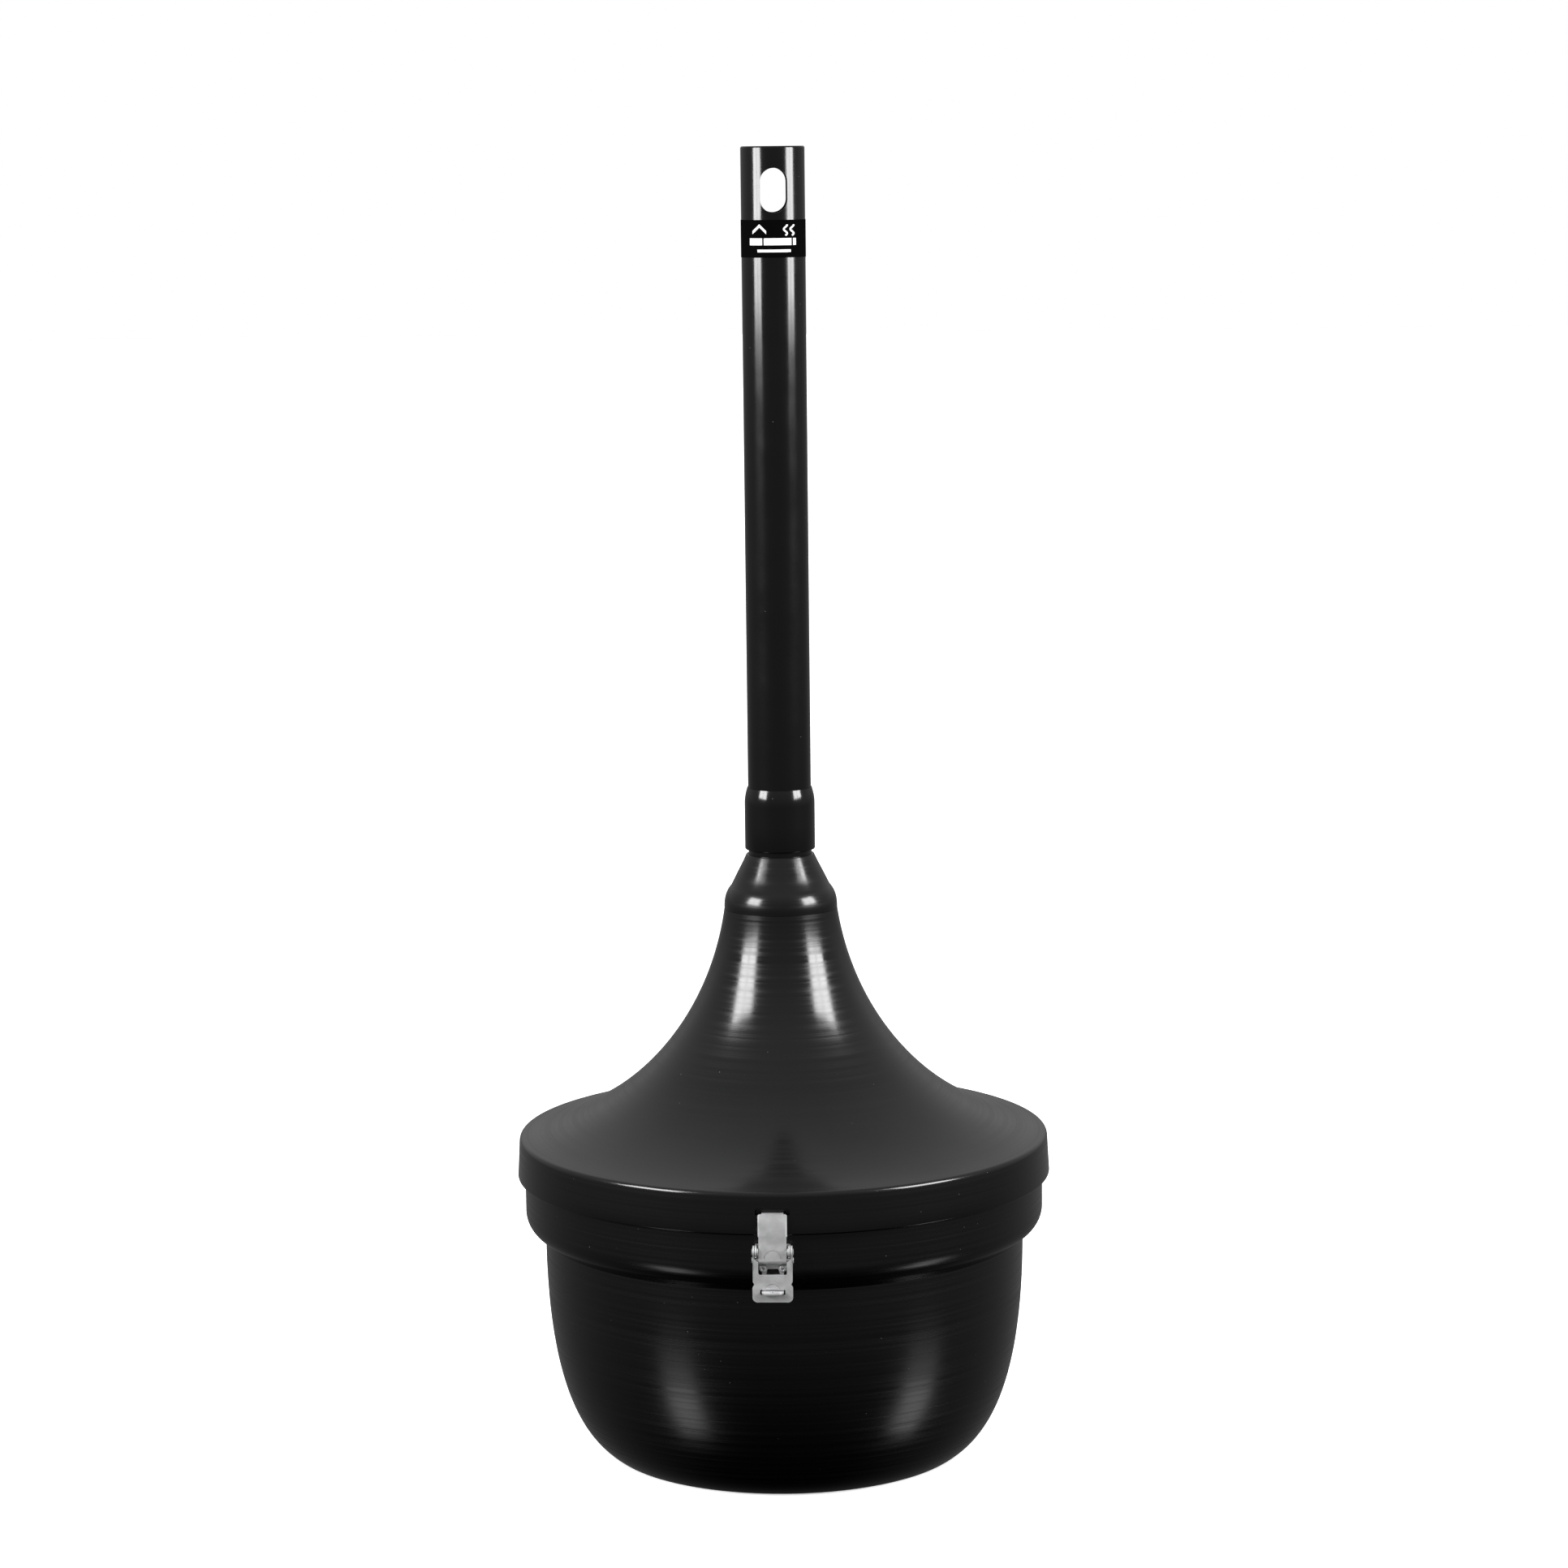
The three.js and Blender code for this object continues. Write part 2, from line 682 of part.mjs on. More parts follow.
function bailGrip() {
  const half = 46;
  const bore = BAIL_WIRE + 0.4;
  const corner = [5.4, half - 3.6];
  const y = -Math.cos(BAIL_REST) * BAIL_REACH;
  const z = BAIL_Z - Math.sin(BAIL_REST) * BAIL_REACH;
  return alongX([
    [bore, -half],
    [6.4, -half],
    ...arc([corner[0], -corner[1]], 2.6, -60, 0, 3),
    ...arc(corner, 2.6, 0, 60, 3),
    [6.4, half],
    [bore, half],
  ], y, z);
}

// ---- assembly ----

const assembly = new THREE.Group();
assembly.name = 'ashtray_bin';

function place(name, body, material) {
  const mesh = new THREE.Mesh(surface(body), material);
  mesh.name = name;
  assembly.add(mesh);
}

place('bowl_shell', bowlShell(), PAINT);
place('ballast_disc', ballastDisc(), IRON);
place('ballast_bolt', ballastBolt(), ZINC);
place('ballast_nut', ballastNut(), ZINC);

place('lid_bell', lidBell(), PAINT);
place('neck_reducer', neckReducer(), PAINT);
place('neck_nipple', neckNipple(), PAINT);
place('tube_coupling', tubeCoupling(), PAINT);
place('intake_tube', intakeTube(), PAINT);
place('tube_cap', tubeCap(), PAINT);
place('tube_label', tubeLabel(), LABEL);

for (const [side, turn] of [['front', 0], ['rear', 180]]) {
  const put = (name, body) => place(`${side}_${name}`, body.rotate([0, 0, turn]), ZINC);
  put('latch_base', latchBase());
  put('rivet_left', latchRivet(-RIVET_X));
  put('rivet_right', latchRivet(RIVET_X));
  put('pivot_left', leverPivot(true));
  put('pivot_right', leverPivot(false));
  put('lever', latchLever());
  put('hook_pin', hookPin());
  put('hook', latchHook());
}

place('pail_shell', pailShell(), GALVANISED);
for (const [side, turn] of [['right', 0], ['left', 180]]) {
  place(`pail_ear_${side}`, pailEar().rotate([0, 0, turn]), GALVANISED);
  place(`ear_rivet_${side}_a`, earRivet(-STRAP_RIVET_Y).rotate([0, 0, turn]), GALVANISED);
  place(`ear_rivet_${side}_b`, earRivet(STRAP_RIVET_Y).rotate([0, 0, turn]), GALVANISED);
}
place('bail_wire', bailWire(), GALVANISED);
place('bail_grip', bailGrip(), GRIP);

export default assembly;
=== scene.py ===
import json
import math

import bpy
from mathutils import Matrix, Vector


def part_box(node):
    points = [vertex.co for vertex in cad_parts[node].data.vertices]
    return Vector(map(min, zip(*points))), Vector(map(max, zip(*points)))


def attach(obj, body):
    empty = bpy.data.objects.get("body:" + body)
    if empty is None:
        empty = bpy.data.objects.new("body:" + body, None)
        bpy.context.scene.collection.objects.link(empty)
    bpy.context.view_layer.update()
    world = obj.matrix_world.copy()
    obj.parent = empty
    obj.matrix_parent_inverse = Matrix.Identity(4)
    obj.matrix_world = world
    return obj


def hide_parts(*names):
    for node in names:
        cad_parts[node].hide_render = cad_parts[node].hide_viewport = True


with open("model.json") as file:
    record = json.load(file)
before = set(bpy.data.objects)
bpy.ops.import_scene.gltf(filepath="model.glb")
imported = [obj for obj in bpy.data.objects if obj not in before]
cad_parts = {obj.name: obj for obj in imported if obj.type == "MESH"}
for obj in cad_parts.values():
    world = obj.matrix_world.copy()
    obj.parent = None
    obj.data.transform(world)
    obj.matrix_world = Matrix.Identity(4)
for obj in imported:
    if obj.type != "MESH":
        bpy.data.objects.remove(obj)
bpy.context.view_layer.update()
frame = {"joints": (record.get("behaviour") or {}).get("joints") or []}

bl_info = {
    "name": "Ashtray bin",
    "version": (1, 0, 0),
    "blender": (4, 5, 0),
    "location": "View3D > Sidebar > Ashtray bin",
    "description": "Models a free-standing ashtray bin around its packed frame",
    "category": "Add Mesh",
}

MM = 0.001
FULL_TURN = 2 * math.pi


# ---- sizes read from the frame, in millimetres ----

def low(node, axis):
    """A node's lowest coordinate along an axis, in millimetres."""
    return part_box(node)[0][axis] / MM


def high(node, axis):
    """A node's highest coordinate along an axis, in millimetres."""
    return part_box(node)[1][axis] / MM


def joint_point(name):
    """The (y, z) of a hinge, in millimetres."""
    joint = next(j for j in frame["joints"] if j["name"] == name)
    return joint["pos_m"][1] / MM, joint["pos_m"][2] / MM


BAND_RADIUS = high("bowl_shell", 0)
SKIRT_RADIUS = high("lid_bell", 0)
SKIRT_LOW = low("lid_bell", 2)
NECK_TOP = high("lid_bell", 2)
REDUCER_LOW = low("neck_reducer", 2)
REDUCER_TOP = high("neck_reducer", 2)
NIPPLE_LOW = low("neck_nipple", 2)
NIPPLE_TOP = high("neck_nipple", 2)
COUPLING_RADIUS = high("tube_coupling", 0)
COUPLING_LOW = low("tube_coupling", 2)
COUPLING_TOP = high("tube_coupling", 2)
TUBE_RADIUS = high("intake_tube", 0)
TUBE_LOW = low("intake_tube", 2)
TUBE_TOP = high("intake_tube", 2)
CAP_RADIUS = high("tube_cap", 0)
CAP_LOW = low("tube_cap", 2)
CAP_TOP = high("tube_cap", 2)
LABEL_LOW = low("tube_label", 2)
LABEL_HIGH = high("tube_label", 2)
BALLAST_RADIUS = high("ballast_disc", 0)
BALLAST_LOW = low("ballast_disc", 2)
BALLAST_HIGH = high("ballast_disc", 2)
PAIL_LOW = low("pail_shell", 2)
PIVOT = joint_point("front_lever_turn")
HOOK_PIN = joint_point("front_hook_turn")
BAIL_PIVOT = joint_point("bail_turn")[1]

# ---- sizes of the pieces, in millimetres ----

SHEET = 2
FLOOR_RADIUS = 138.3
KICK_RADIUS = 56
KICK_HEIGHT = 6
BOLT_HOLE = 5.3
BOLT_RADIUS = 5
BOLT_HEAD = 10
NUT_RADIUS = 9.5
NUT_HEIGHT = 8
WALL_TOP = (185.3, 170.4)
SHOULDER_ROUND = 17
SHOULDER_CENTRE = 190
RIM_BEAD = 2.8
RIM_CENTRE = 243.7
SKIRT_HIGH = (204.45, 244.6)
LID_EDGE = (201.5, 248.6)
NECK_RADIUS = 43.46
SLOT_HALF_WIDTH = 12.7
SLOT_LOW = 231.8
SLOT_HIGH = 237
SLOT_CORNER = 2.4
PIPE_BORE = 21.15
HOLE_LOW = 953.9
HOLE_HIGH = 987.2
HOLE_WIDTH = 20.5
HOLE_TURN = math.radians(4)
TUBE_ROWS = (650, 800)
LATCH_BACK = -200.7
LATCH_FRONT = -202.2
LATCH_CORNER = 1.5
LEVER_BACK = -209
LEVER_FRONT = -210.2
LEVER_HALF = 14.5
LEVER_TOP = 201.2
LEVER_LOW = 171.8
LEVER_CORNER = 3.7
LEVER_NOTCH = 181.4
HOOK_BACK = -206.4
HOOK_FRONT = -207.6
HOOK_HALF = 10.75
HOOK_EYE = 2.8
HOOK_EYE_HALF = 10.2
HOOK_BEND = 214.2
HOOK_WAIST = 216.4
TONGUE_HALF = 8
TONGUE_TIP = -201
GAUGE = 1.2
EAR_RADIUS = 4.6
EAR_LOW = 200.6
EYE_HALF = 8
EYE_GAUGE = 1.5
EYE_ROUND = 5
PIVOT_HOLE = 1.9
PIN_HOLE = 1.75
RIVET_X = 7.15
RIVET_Z = 191.6
RIVET_HOLE = 2.3
RIVET_PAD = 2.95
PAIL_RADIUS = 140
PAIL_FLOOR = 31
BAIL_HALF = 154
BAIL_REACH = 158
BAIL_CORNER = 104
BAIL_WIRE = 2
BAIL_REST = math.radians(12)
BAIL_HOLE = 2.35
BAIL_HEAD = 143.2
STRAP_INNER = 140.3
STRAP_OUTER = 148
STRAP_GAUGE = 1.5
STRAP_HALF = 10.5
STRAP_FOOT = 22
EAR_RIVET_Y = 16
EAR_RIVET_HOLE = 1.8

# The sign: heights count from the middle of the label, and lengths from the nearer end of the sign
SIGN_BAR = (-4.8, 0.4)
FILTER_END = 9
PAPER_START = 10.2
PAPER_END = 5
EMBER_START = 3.8
EMBER_END = 1.6
SIGN_LINE = (-10, -8)
SIGN_LINE_HALF = 12.5
CHEVRON = ((2, 3.4), (7, 8.4), (12, 3.4), (12, 5.8), (7, 10.8), (2, 5.8))
SMOKE_STARTS = (9.5, 4.5)
SMOKE_LOW = 2.4
SMOKE_SWAY = 1.3
SMOKE_HALF = 0.65


# ---- outlines ----

def arc(centre, radius, start, end, steps):
    """Points of an arc, with its angles in degrees."""
    points = []
    for step in range(steps + 1):
        angle = math.radians(start + (end - start) * step / steps)
        points.append((centre[0] + radius * math.cos(angle), centre[1] + radius * math.sin(angle)))
    return points


def curve(handles, steps):
    """Points of a Bezier curve, drawn from any number of handles."""
    points = []
    for step in range(steps + 1):
        t = step / steps
        level = [Vector(handle) for handle in handles]
        while len(level) > 1:
            level = [a.lerp(b, t) for a, b in zip(level, level[1:])]
        points.append(tuple(level[0]))
    return points


def beside(line, distance):
    """The same line moved sideways by a distance, to its left."""
    moved = []
    for i, point in enumerate(line):
        here = Vector(point)
        into = (here - Vector(line[i - 1])).normalized() if i > 0 else None
        out = (Vector(line[i + 1]) - here).normalized() if i < len(line) - 1 else into
        into = into or out
        before = Vector((-into.y, into.x))
        after = Vector((-out.y, out.x))
        moved.append(tuple(here + (before + after) * distance / (1 + before.dot(after))))
    return moved


def rectangle(left, right, bottom, top):
    """The corners of a rectangle."""
    return [(left, bottom), (right, bottom), (right, top), (left, top)]


# ---- modelling ----

def trace(name, points, closed=True):
    """Draw a line by pulling one corner from point to point. Points are in millimetres."""
    bpy.ops.object.select_all(action="DESELECT")
    places = [Vector(point) * MM for point in points]
    bpy.ops.mesh.primitive_plane_add(size=MM, location=places[0])
    piece = bpy.context.active_object
    piece.name = name
    piece.data.name = name
    bpy.ops.object.transform_apply(location=True)
    bpy.ops.object.mode_set(mode="EDIT")
    bpy.ops.mesh.select_all(action="SELECT")
    bpy.ops.mesh.merge(type="CENTER")
    ends = places[1:] + ([places[0]] if closed else [])
    for here, there in zip(places, ends):
        bpy.ops.mesh.extrude_vertices_move(TRANSFORM_OT_translate={"value": there - here})
    bpy.ops.mesh.select_all(action="SELECT")
    bpy.ops.mesh.remove_doubles(threshold=0.0005 * MM)
    return piece


def spun(name, outline, steps):
    """A solid of revolution about Z, from an outline in (radius, height)."""
    on_axis = outline[0][0] == 0
    piece = trace(name, [(r, 0, z) for r, z in outline], closed=not on_axis)
    bpy.ops.mesh.spin(steps=steps, angle=FULL_TURN, center=(0, 0, 0), axis=(0, 0, 1))
    bpy.ops.mesh.select_all(action="SELECT")
    bpy.ops.mesh.remove_doubles(threshold=0.0005 * MM)
    bpy.ops.mesh.normals_make_consistent(inside=False)
    bpy.ops.object.mode_set(mode="OBJECT")
    return piece


def plate(name, corners, thickness):
    """A flat plate: its corners in space, and the vector of its thickness."""
    piece = trace(name, corners)
    bpy.ops.mesh.edge_face_add()
    bpy.ops.mesh.extrude_region_move(TRANSFORM_OT_translate={"value": Vector(thickness) * MM})
    bpy.ops.mesh.select_all(action="SELECT")
    bpy.ops.mesh.normals_make_consistent(inside=False)
    bpy.ops.object.mode_set(mode="OBJECT")
    return piece


def front_plate(name, outline, back, thickness):
    """A plate that faces the front, from an outline in (x, z)."""
    return plate(name, [(x, back, z) for x, z in outline], (0, -thickness, 0))


def side_plate(name, outline, x, thickness):
    """A plate that faces sideways, from an outline in (y, z)."""
    return plate(name, [(x, y, z) for y, z in outline], (thickness, 0, 0))


def level_plate(name, outline, z, thickness):
    """A level plate, from an outline in (x, y)."""
    return plate(name, [(x, y, z) for x, y in outline], (0, 0, thickness))


def block(name, lowest, highest):
    """A box between two corners."""
    outline = rectangle(lowest[0], highest[0], lowest[1], highest[1])
    return level_plate(name, outline, lowest[2], highest[2] - lowest[2])


def only(piece):
    """Make one piece the selected and active one."""
    bpy.ops.object.select_all(action="DESELECT")
    piece.select_set(True)
    bpy.context.view_layer.objects.active = piece


def settle(piece, turn=(0, 0, 0), place=(0, 0, 0)):
    """Turn and move a piece, and keep that in its mesh."""
    only(piece)
    piece.rotation_euler = turn
    piece.location = Vector(place) * MM
    bpy.ops.object.transform_apply(location=True, rotation=True, scale=True)
    return piece


def along_x(piece, y, z, mirror=False):
    """Lay a turned piece along +X, or along -X."""
    side = -1 if mirror else 1
    return settle(piece, (0, side * math.pi / 2, 0), (0, y, z))


def along_front(piece, x, z):
    """Lay a turned piece towards the front."""
    return settle(piece, (math.pi / 2, 0, 0), (x, 0, z))


def rod(name, radius, start, end, steps=32):
    """A plain round bar along Z."""
    return spun(name, [(0, start), (radius, start), (radius, end), (0, end)], steps)


def combine(piece, tool, operation):
    """Join a tool to a piece or cut it away, and delete the tool."""
    only(piece)
    change = piece.modifiers.new(operation.lower(), "BOOLEAN")
    change.operation = operation
    change.solver = "EXACT"
    change.object = tool
    bpy.ops.object.modifier_apply(modifier=change.name)
    bpy.data.objects.remove(tool, do_unlink=True)
    return piece


def join(piece, *tools):
    """Join tools to a piece."""
    for tool in tools:
        combine(piece, tool, "UNION")
    return piece


def cut(piece, *tools):
    """Cut tools out of a piece."""
    for tool in tools:
        combine(piece, tool, "DIFFERENCE")
    return piece


def trim(piece, tool):
    """Keep only what lies inside the tool."""
    return combine(piece, tool, "INTERSECT")


def soften(piece, width, segments=3, angle=40):
    """Round the sharp edges of a piece."""
    only(piece)
    bevel = piece.modifiers.new("soften", "BEVEL")
    bevel.width = width * MM
    bevel.segments = segments
    bevel.limit_method = "ANGLE"
    bevel.angle_limit = math.radians(angle)
    bevel.use_clamp_overlap = True
    bpy.ops.object.modifier_apply(modifier=bevel.name)
    return piece


def finish(piece, material, body, node, smooth=32):
    """Give a piece its material, tie it to its body, and hide the frame's part for its node."""
    only(piece)
    bpy.ops.object.shade_smooth_by_angle(angle=math.radians(smooth))
    piece.data.materials.clear()
    piece.data.materials.append(material)
    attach(piece, body)
    if node:
        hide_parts(node)
    return piece


def copied(piece, name, turn):
    """A copy of a piece with its own mesh, turned about Z."""
    only(piece)
    bpy.ops.object.duplicate(linked=False)
    twin = bpy.context.active_object
    twin.name = name
    twin.data.name = name
    return settle(twin, (0, 0, turn))


# ---- materials ----

class NodeWork:
    """A node tree under construction."""

    def __init__(self, tree):
        self.tree = tree
        self.tree.nodes.clear()

    def add(self, kind, **settings):
        """A new node with its settings."""
        node = self.tree.nodes.new(kind)
        for key, value in settings.items():
            setattr(node, key, value)
        return node

    def link(self, source, target):
        """Link two sockets."""
        self.tree.links.new(source, target)

    def remap(self, value, low_in, high_in, low_out, high_out):
        """A value stretched from one range to another, and held inside it."""
        node = self.add("ShaderNodeMapRange")
        ends = {"From Min": low_in, "From Max": high_in, "To Min": low_out, "To Max": high_out}
        for socket, number in ends.items():
            node.inputs[socket].default_value = number
        self.link(value, node.inputs["Value"])
        return node.outputs["Result"]

    def times(self, first, second):
        """The product of two values."""
        node = self.add("ShaderNodeMath", operation="MULTIPLY")
        self.link(first, node.inputs[0])
        self.link(second, node.inputs[1])
        return node.outputs["Value"]

    def weighted(self, first, weight, second):
        """The first value times its weight, plus the second."""
        node = self.add("ShaderNodeMath", operation="MULTIPLY_ADD")
        node.inputs[1].default_value = weight
        self.link(first, node.inputs[0])
        self.link(second, node.inputs[2])
        return node.outputs["Value"]


class Shader(NodeWork):
    """A material under construction."""

    def __init__(self, name):
        self.material = bpy.data.materials.get(name) or bpy.data.materials.new(name)
        self.material.use_nodes = True
        super().__init__(self.material.node_tree)
        self.surface = self.add("ShaderNodeBsdfPrincipled")
        output = self.add("ShaderNodeOutputMaterial")
        self.link(self.surface.outputs["BSDF"], output.inputs["Surface"])
        self.place = self.add("ShaderNodeTexCoord").outputs["Object"]

    def set(self, **values):
        """Set sockets of the surface, with _ for a space."""
        for key, value in values.items():
            self.surface.inputs[key.replace("_", " ")].default_value = value

    def noise(self, vector, scale, detail=2.0, roughness=0.5):
        """Noise, from 0 to 1."""
        node = self.add("ShaderNodeTexNoise")
        node.inputs["Scale"].default_value = scale
        node.inputs["Detail"].default_value = detail
        node.inputs["Roughness"].default_value = roughness
        self.link(vector, node.inputs["Vector"])
        return node.outputs["Fac"]

    def cells(self, vector, scale):
        """A grey value for each cell of a cell pattern."""
        node = self.add("ShaderNodeTexVoronoi", feature="F1")
        node.inputs["Scale"].default_value = scale
        self.link(vector, node.inputs["Vector"])
        grey = self.add("ShaderNodeSeparateColor")
        self.link(node.outputs["Color"], grey.inputs["Color"])
        return grey.outputs["Red"]

    def specks(self, vector, scale, size):
        """Sparse small round specks, from 0 to 1."""
        node = self.add("ShaderNodeTexVoronoi", feature="F1")
        node.inputs["Scale"].default_value = scale
        self.link(vector, node.inputs["Vector"])
        return self.remap(node.outputs["Distance"], size, size * 2.2, 1.0, 0.0)

    def facing_up(self, start, end):
        """From 0 to 1 as the surface turns to face up."""
        parts = self.add("ShaderNodeSeparateXYZ")
        self.link(self.add("ShaderNodeNewGeometry").outputs["Normal"], parts.inputs["Vector"])
        return self.remap(parts.outputs["Z"], start, end, 0.0, 1.0)

    def mix(self, share, first, second):
        """A colour between two colours. Each is a colour or a socket."""
        node = self.add("ShaderNodeMix", data_type="RGBA")
        self.link(share, node.inputs["Factor"])
        for name, colour in (("A", first), ("B", second)):
            if isinstance(colour, bpy.types.NodeSocket):
                self.link(colour, node.inputs[name])
            else:
                node.inputs[name].default_value = (*colour, 1)
        return node.outputs["Result"]

    def around_axis(self):
        """Coordinates that do not change round the Z axis: radius and height."""
        parts = self.add("ShaderNodeSeparateXYZ")
        self.link(self.place, parts.inputs["Vector"])
        flat = self.add("ShaderNodeCombineXYZ")
        self.link(parts.outputs["X"], flat.inputs["X"])
        self.link(parts.outputs["Y"], flat.inputs["Y"])
        radius = self.add("ShaderNodeVectorMath", operation="LENGTH")
        self.link(flat.outputs["Vector"], radius.inputs[0])
        rings = self.add("ShaderNodeCombineXYZ")
        self.link(radius.outputs["Value"], rings.inputs["X"])
        self.link(parts.outputs["Z"], rings.inputs["Y"])
        return rings.outputs["Vector"]

    def bumps(self, *layers):
        """Bump layers as (height, depth in millimetres)."""
        normal = None
        for height, depth in layers:
            node = self.add("ShaderNodeBump")
            node.inputs["Strength"].default_value = 1.0
            node.inputs["Distance"].default_value = depth * MM
            self.link(height, node.inputs["Height"])
            if normal:
                self.link(normal, node.inputs["Normal"])
            normal = node.outputs["Normal"]
        self.link(normal, self.surface.inputs["Normal"])


def grey(level):
    """A neutral colour."""
    return (level, level, level)


def powder_coat(name, colour, gloss, ring_depth, wave_depth):
    """Gloss powder coat with nibs, and painted light that makes its upward faces lighter. On spun metal the
    tool's rings show through it.
    """
    paint = Shader(name)
    paint.set(Metallic=0.0, IOR=1.5)
    cloud = paint.noise(paint.place, 7, 3)
    tint = paint.mix(paint.remap(cloud, 0.35, 0.75, 0.0, 1.0), colour, [c * 1.7 for c in colour])
    nibs = paint.specks(paint.place, 85, 0.013)
    tint = paint.mix(nibs, tint, grey(0.12))
    # Painted light: faces turned up are mixed towards a lighter grey, so the top looks lit from above and
    # its dark reflections soften.
    painted_top_light = paint.times(paint.facing_up(0.7, 0.98), paint.remap(cloud, 0.3, 0.7, 0.5, 1.0))
    paint.link(paint.mix(painted_top_light, tint, grey(0.008)), paint.surface.inputs["Base Color"])
    haze = paint.noise(paint.place, 26, 5, 0.62)
    spread = 0.07
    orange_peel = paint.noise(paint.place, 520, 2)
    layers = [(orange_peel, 0.0035), (nibs, 0.12)]
    if ring_depth:
        rings = paint.around_axis()
        haze = paint.noise(rings, 270, 3, 0.65)
        spread = 0.15
        layers.append((haze, ring_depth * 1.5))
        layers.append((paint.noise(rings, 900, 2), ring_depth * 0.6))
        layers.append((paint.noise(paint.place, 9, 2), wave_depth))
    roughness = paint.remap(haze, 0.3, 0.72, gloss - 0.01, gloss + spread)
    paint.link(roughness, paint.surface.inputs["Roughness"])
    paint.bumps(*layers)
    return paint.material


def plated_steel(name, colour):
    """Tumbled and zinc-plated pressed steel."""
    steel = Shader(name)
    steel.set(Metallic=0.65)
    cloud = steel.noise(steel.place, 160, 4, 0.6)
    tone = steel.remap(cloud, 0.3, 0.7, 0.0, 1.0)
    steel.link(steel.mix(tone, [c * 0.86 for c in colour], colour), steel.surface.inputs["Base Color"])
    steel.link(steel.remap(cloud, 0.3, 0.7, 0.36, 0.5), steel.surface.inputs["Roughness"])
    steel.bumps((steel.noise(steel.place, 1400, 3, 0.6), 0.012))
    return steel.material


def galvanised_steel(name, colour):
    """Hot-dip galvanised sheet with its spangle."""
    steel = Shader(name)
    steel.set(Metallic=0.9)
    spangle = steel.cells(steel.place, 110)
    steel.link(steel.mix(spangle, [c * 0.72 for c in colour], colour), steel.surface.inputs["Base Color"])
    steel.link(steel.remap(spangle, 0.0, 1.0, 0.36, 0.58), steel.surface.inputs["Roughness"])
    steel.bumps((steel.noise(steel.place, 300, 3), 0.02))
    return steel.material


def cast_iron(name, colour):
    """Rough cast iron with a thin coat of black paint."""
    iron = Shader(name)
    iron.set(Metallic=0.4)
    grain = iron.noise(iron.place, 500, 5, 0.7)
    iron.link(iron.mix(grain, [c * 0.6 for c in colour], colour), iron.surface.inputs["Base Color"])
    iron.link(iron.remap(grain, 0.3, 0.7, 0.6, 0.85), iron.surface.inputs["Roughness"])
    iron.bumps((grain, 0.25))
    return iron.material


def vinyl(name, colour, roughness, shine=0.3):
    """Printed matt vinyl film."""
    film = Shader(name)
    film.set(Metallic=0.0, Specular_IOR_Level=shine)
    mottle = film.noise(film.place, 700, 3)
    tint = film.mix(mottle, colour, [min(1.0, c * 1.1) for c in colour])
    film.link(tint, film.surface.inputs["Base Color"])
    film.link(film.remap(mottle, 0.3, 0.7, roughness, roughness + 0.08), film.surface.inputs["Roughness"])
    film.bumps((mottle, 0.004))
    return film.material


def moulded_plastic(name, colour):
    """Fine-grained moulded plastic."""
    plastic = Shader(name)
    grain = plastic.noise(plastic.place, 900, 4, 0.6)
    tint = plastic.mix(grain, colour, [c * 1.3 for c in colour])
    plastic.link(tint, plastic.surface.inputs["Base Color"])
    plastic.link(plastic.remap(grain, 0.3, 0.7, 0.45, 0.6), plastic.surface.inputs["Roughness"])
    plastic.bumps((grain, 0.05))
    return plastic.material


def studio_floor(name, colour):
    """Pale matt studio paper."""
    paper = Shader(name)
    tooth = paper.noise(paper.place, 300, 3)
    paper.link(paper.mix(tooth, [c * 0.99 for c in colour], colour), paper.surface.inputs["Base Color"])
    paper.set(Roughness=0.9, Specular_IOR_Level=0.1, Emission_Strength=0.5)
    paper.surface.inputs["Emission Color"].default_value = (1, 1, 1, 1)
    return paper.material


class BinLooks(bpy.types.PropertyGroup):
    """Colours of the ashtray bin"""

    paint: bpy.props.FloatVectorProperty(
        name="Paint", description="Colour of the powder coat", subtype="COLOR",
        size=3, min=0, max=1, default=(0.0012, 0.0012, 0.00125))
    zinc: bpy.props.FloatVectorProperty(
        name="Latch plating", description="Colour of the plated latch", subtype="COLOR",
        size=3, min=0, max=1, default=(0.68, 0.683, 0.69))
    galvanised: bpy.props.FloatVectorProperty(
        name="Pail zinc", description="Colour of the galvanised pail", subtype="COLOR",
        size=3, min=0, max=1, default=(0.56, 0.58, 0.6))
    iron: bpy.props.FloatVectorProperty(
        name="Ballast", description="Colour of the ballast disc", subtype="COLOR",
        size=3, min=0, max=1, default=(0.05, 0.05, 0.053))
    ink: bpy.props.FloatVectorProperty(
        name="Label print", description="Colour of the sign on the label", subtype="COLOR",
        size=3, min=0, max=1, default=(0.88, 0.88, 0.88))
    floor: bpy.props.FloatVectorProperty(
        name="Floor", description="Colour of the studio floor", subtype="COLOR",
        size=3, min=0, max=1, default=(0.86, 0.86, 0.86))


class BinSizes(bpy.types.PropertyGroup):
    """Sizes of the ashtray bin that do not change how it moves"""

    spin_steps: bpy.props.IntProperty(
        name="Spin steps", description="Sides of the spun bowl and lid", min=48, max=360, default=192)
    ring_depth: bpy.props.FloatProperty(
        name="Ring depth", description="Depth of the spinning rings in the paint",
        unit="LENGTH", min=0, max=0.0002, precision=6, default=0.000016)
    sign_width: bpy.props.FloatProperty(
        name="Sign width", description="Width of the sign printed on the label",
        unit="LENGTH", min=0.01, max=0.042, default=0.036)
    grip_length: bpy.props.FloatProperty(
        name="Grip length", description="Length of the grip on the bail handle",
        unit="LENGTH", min=0.06, max=0.1, default=0.092)
    lens: bpy.props.FloatProperty(
        name="Lens", description="Focal length of the camera",
        unit="CAMERA", min=20, max=300, default=98.4)


def looks():
    """The colours that the operators read."""
    return bpy.context.scene.bin_looks


def sizes():
    """The sizes that the operators read."""
    return bpy.context.scene.bin_sizes


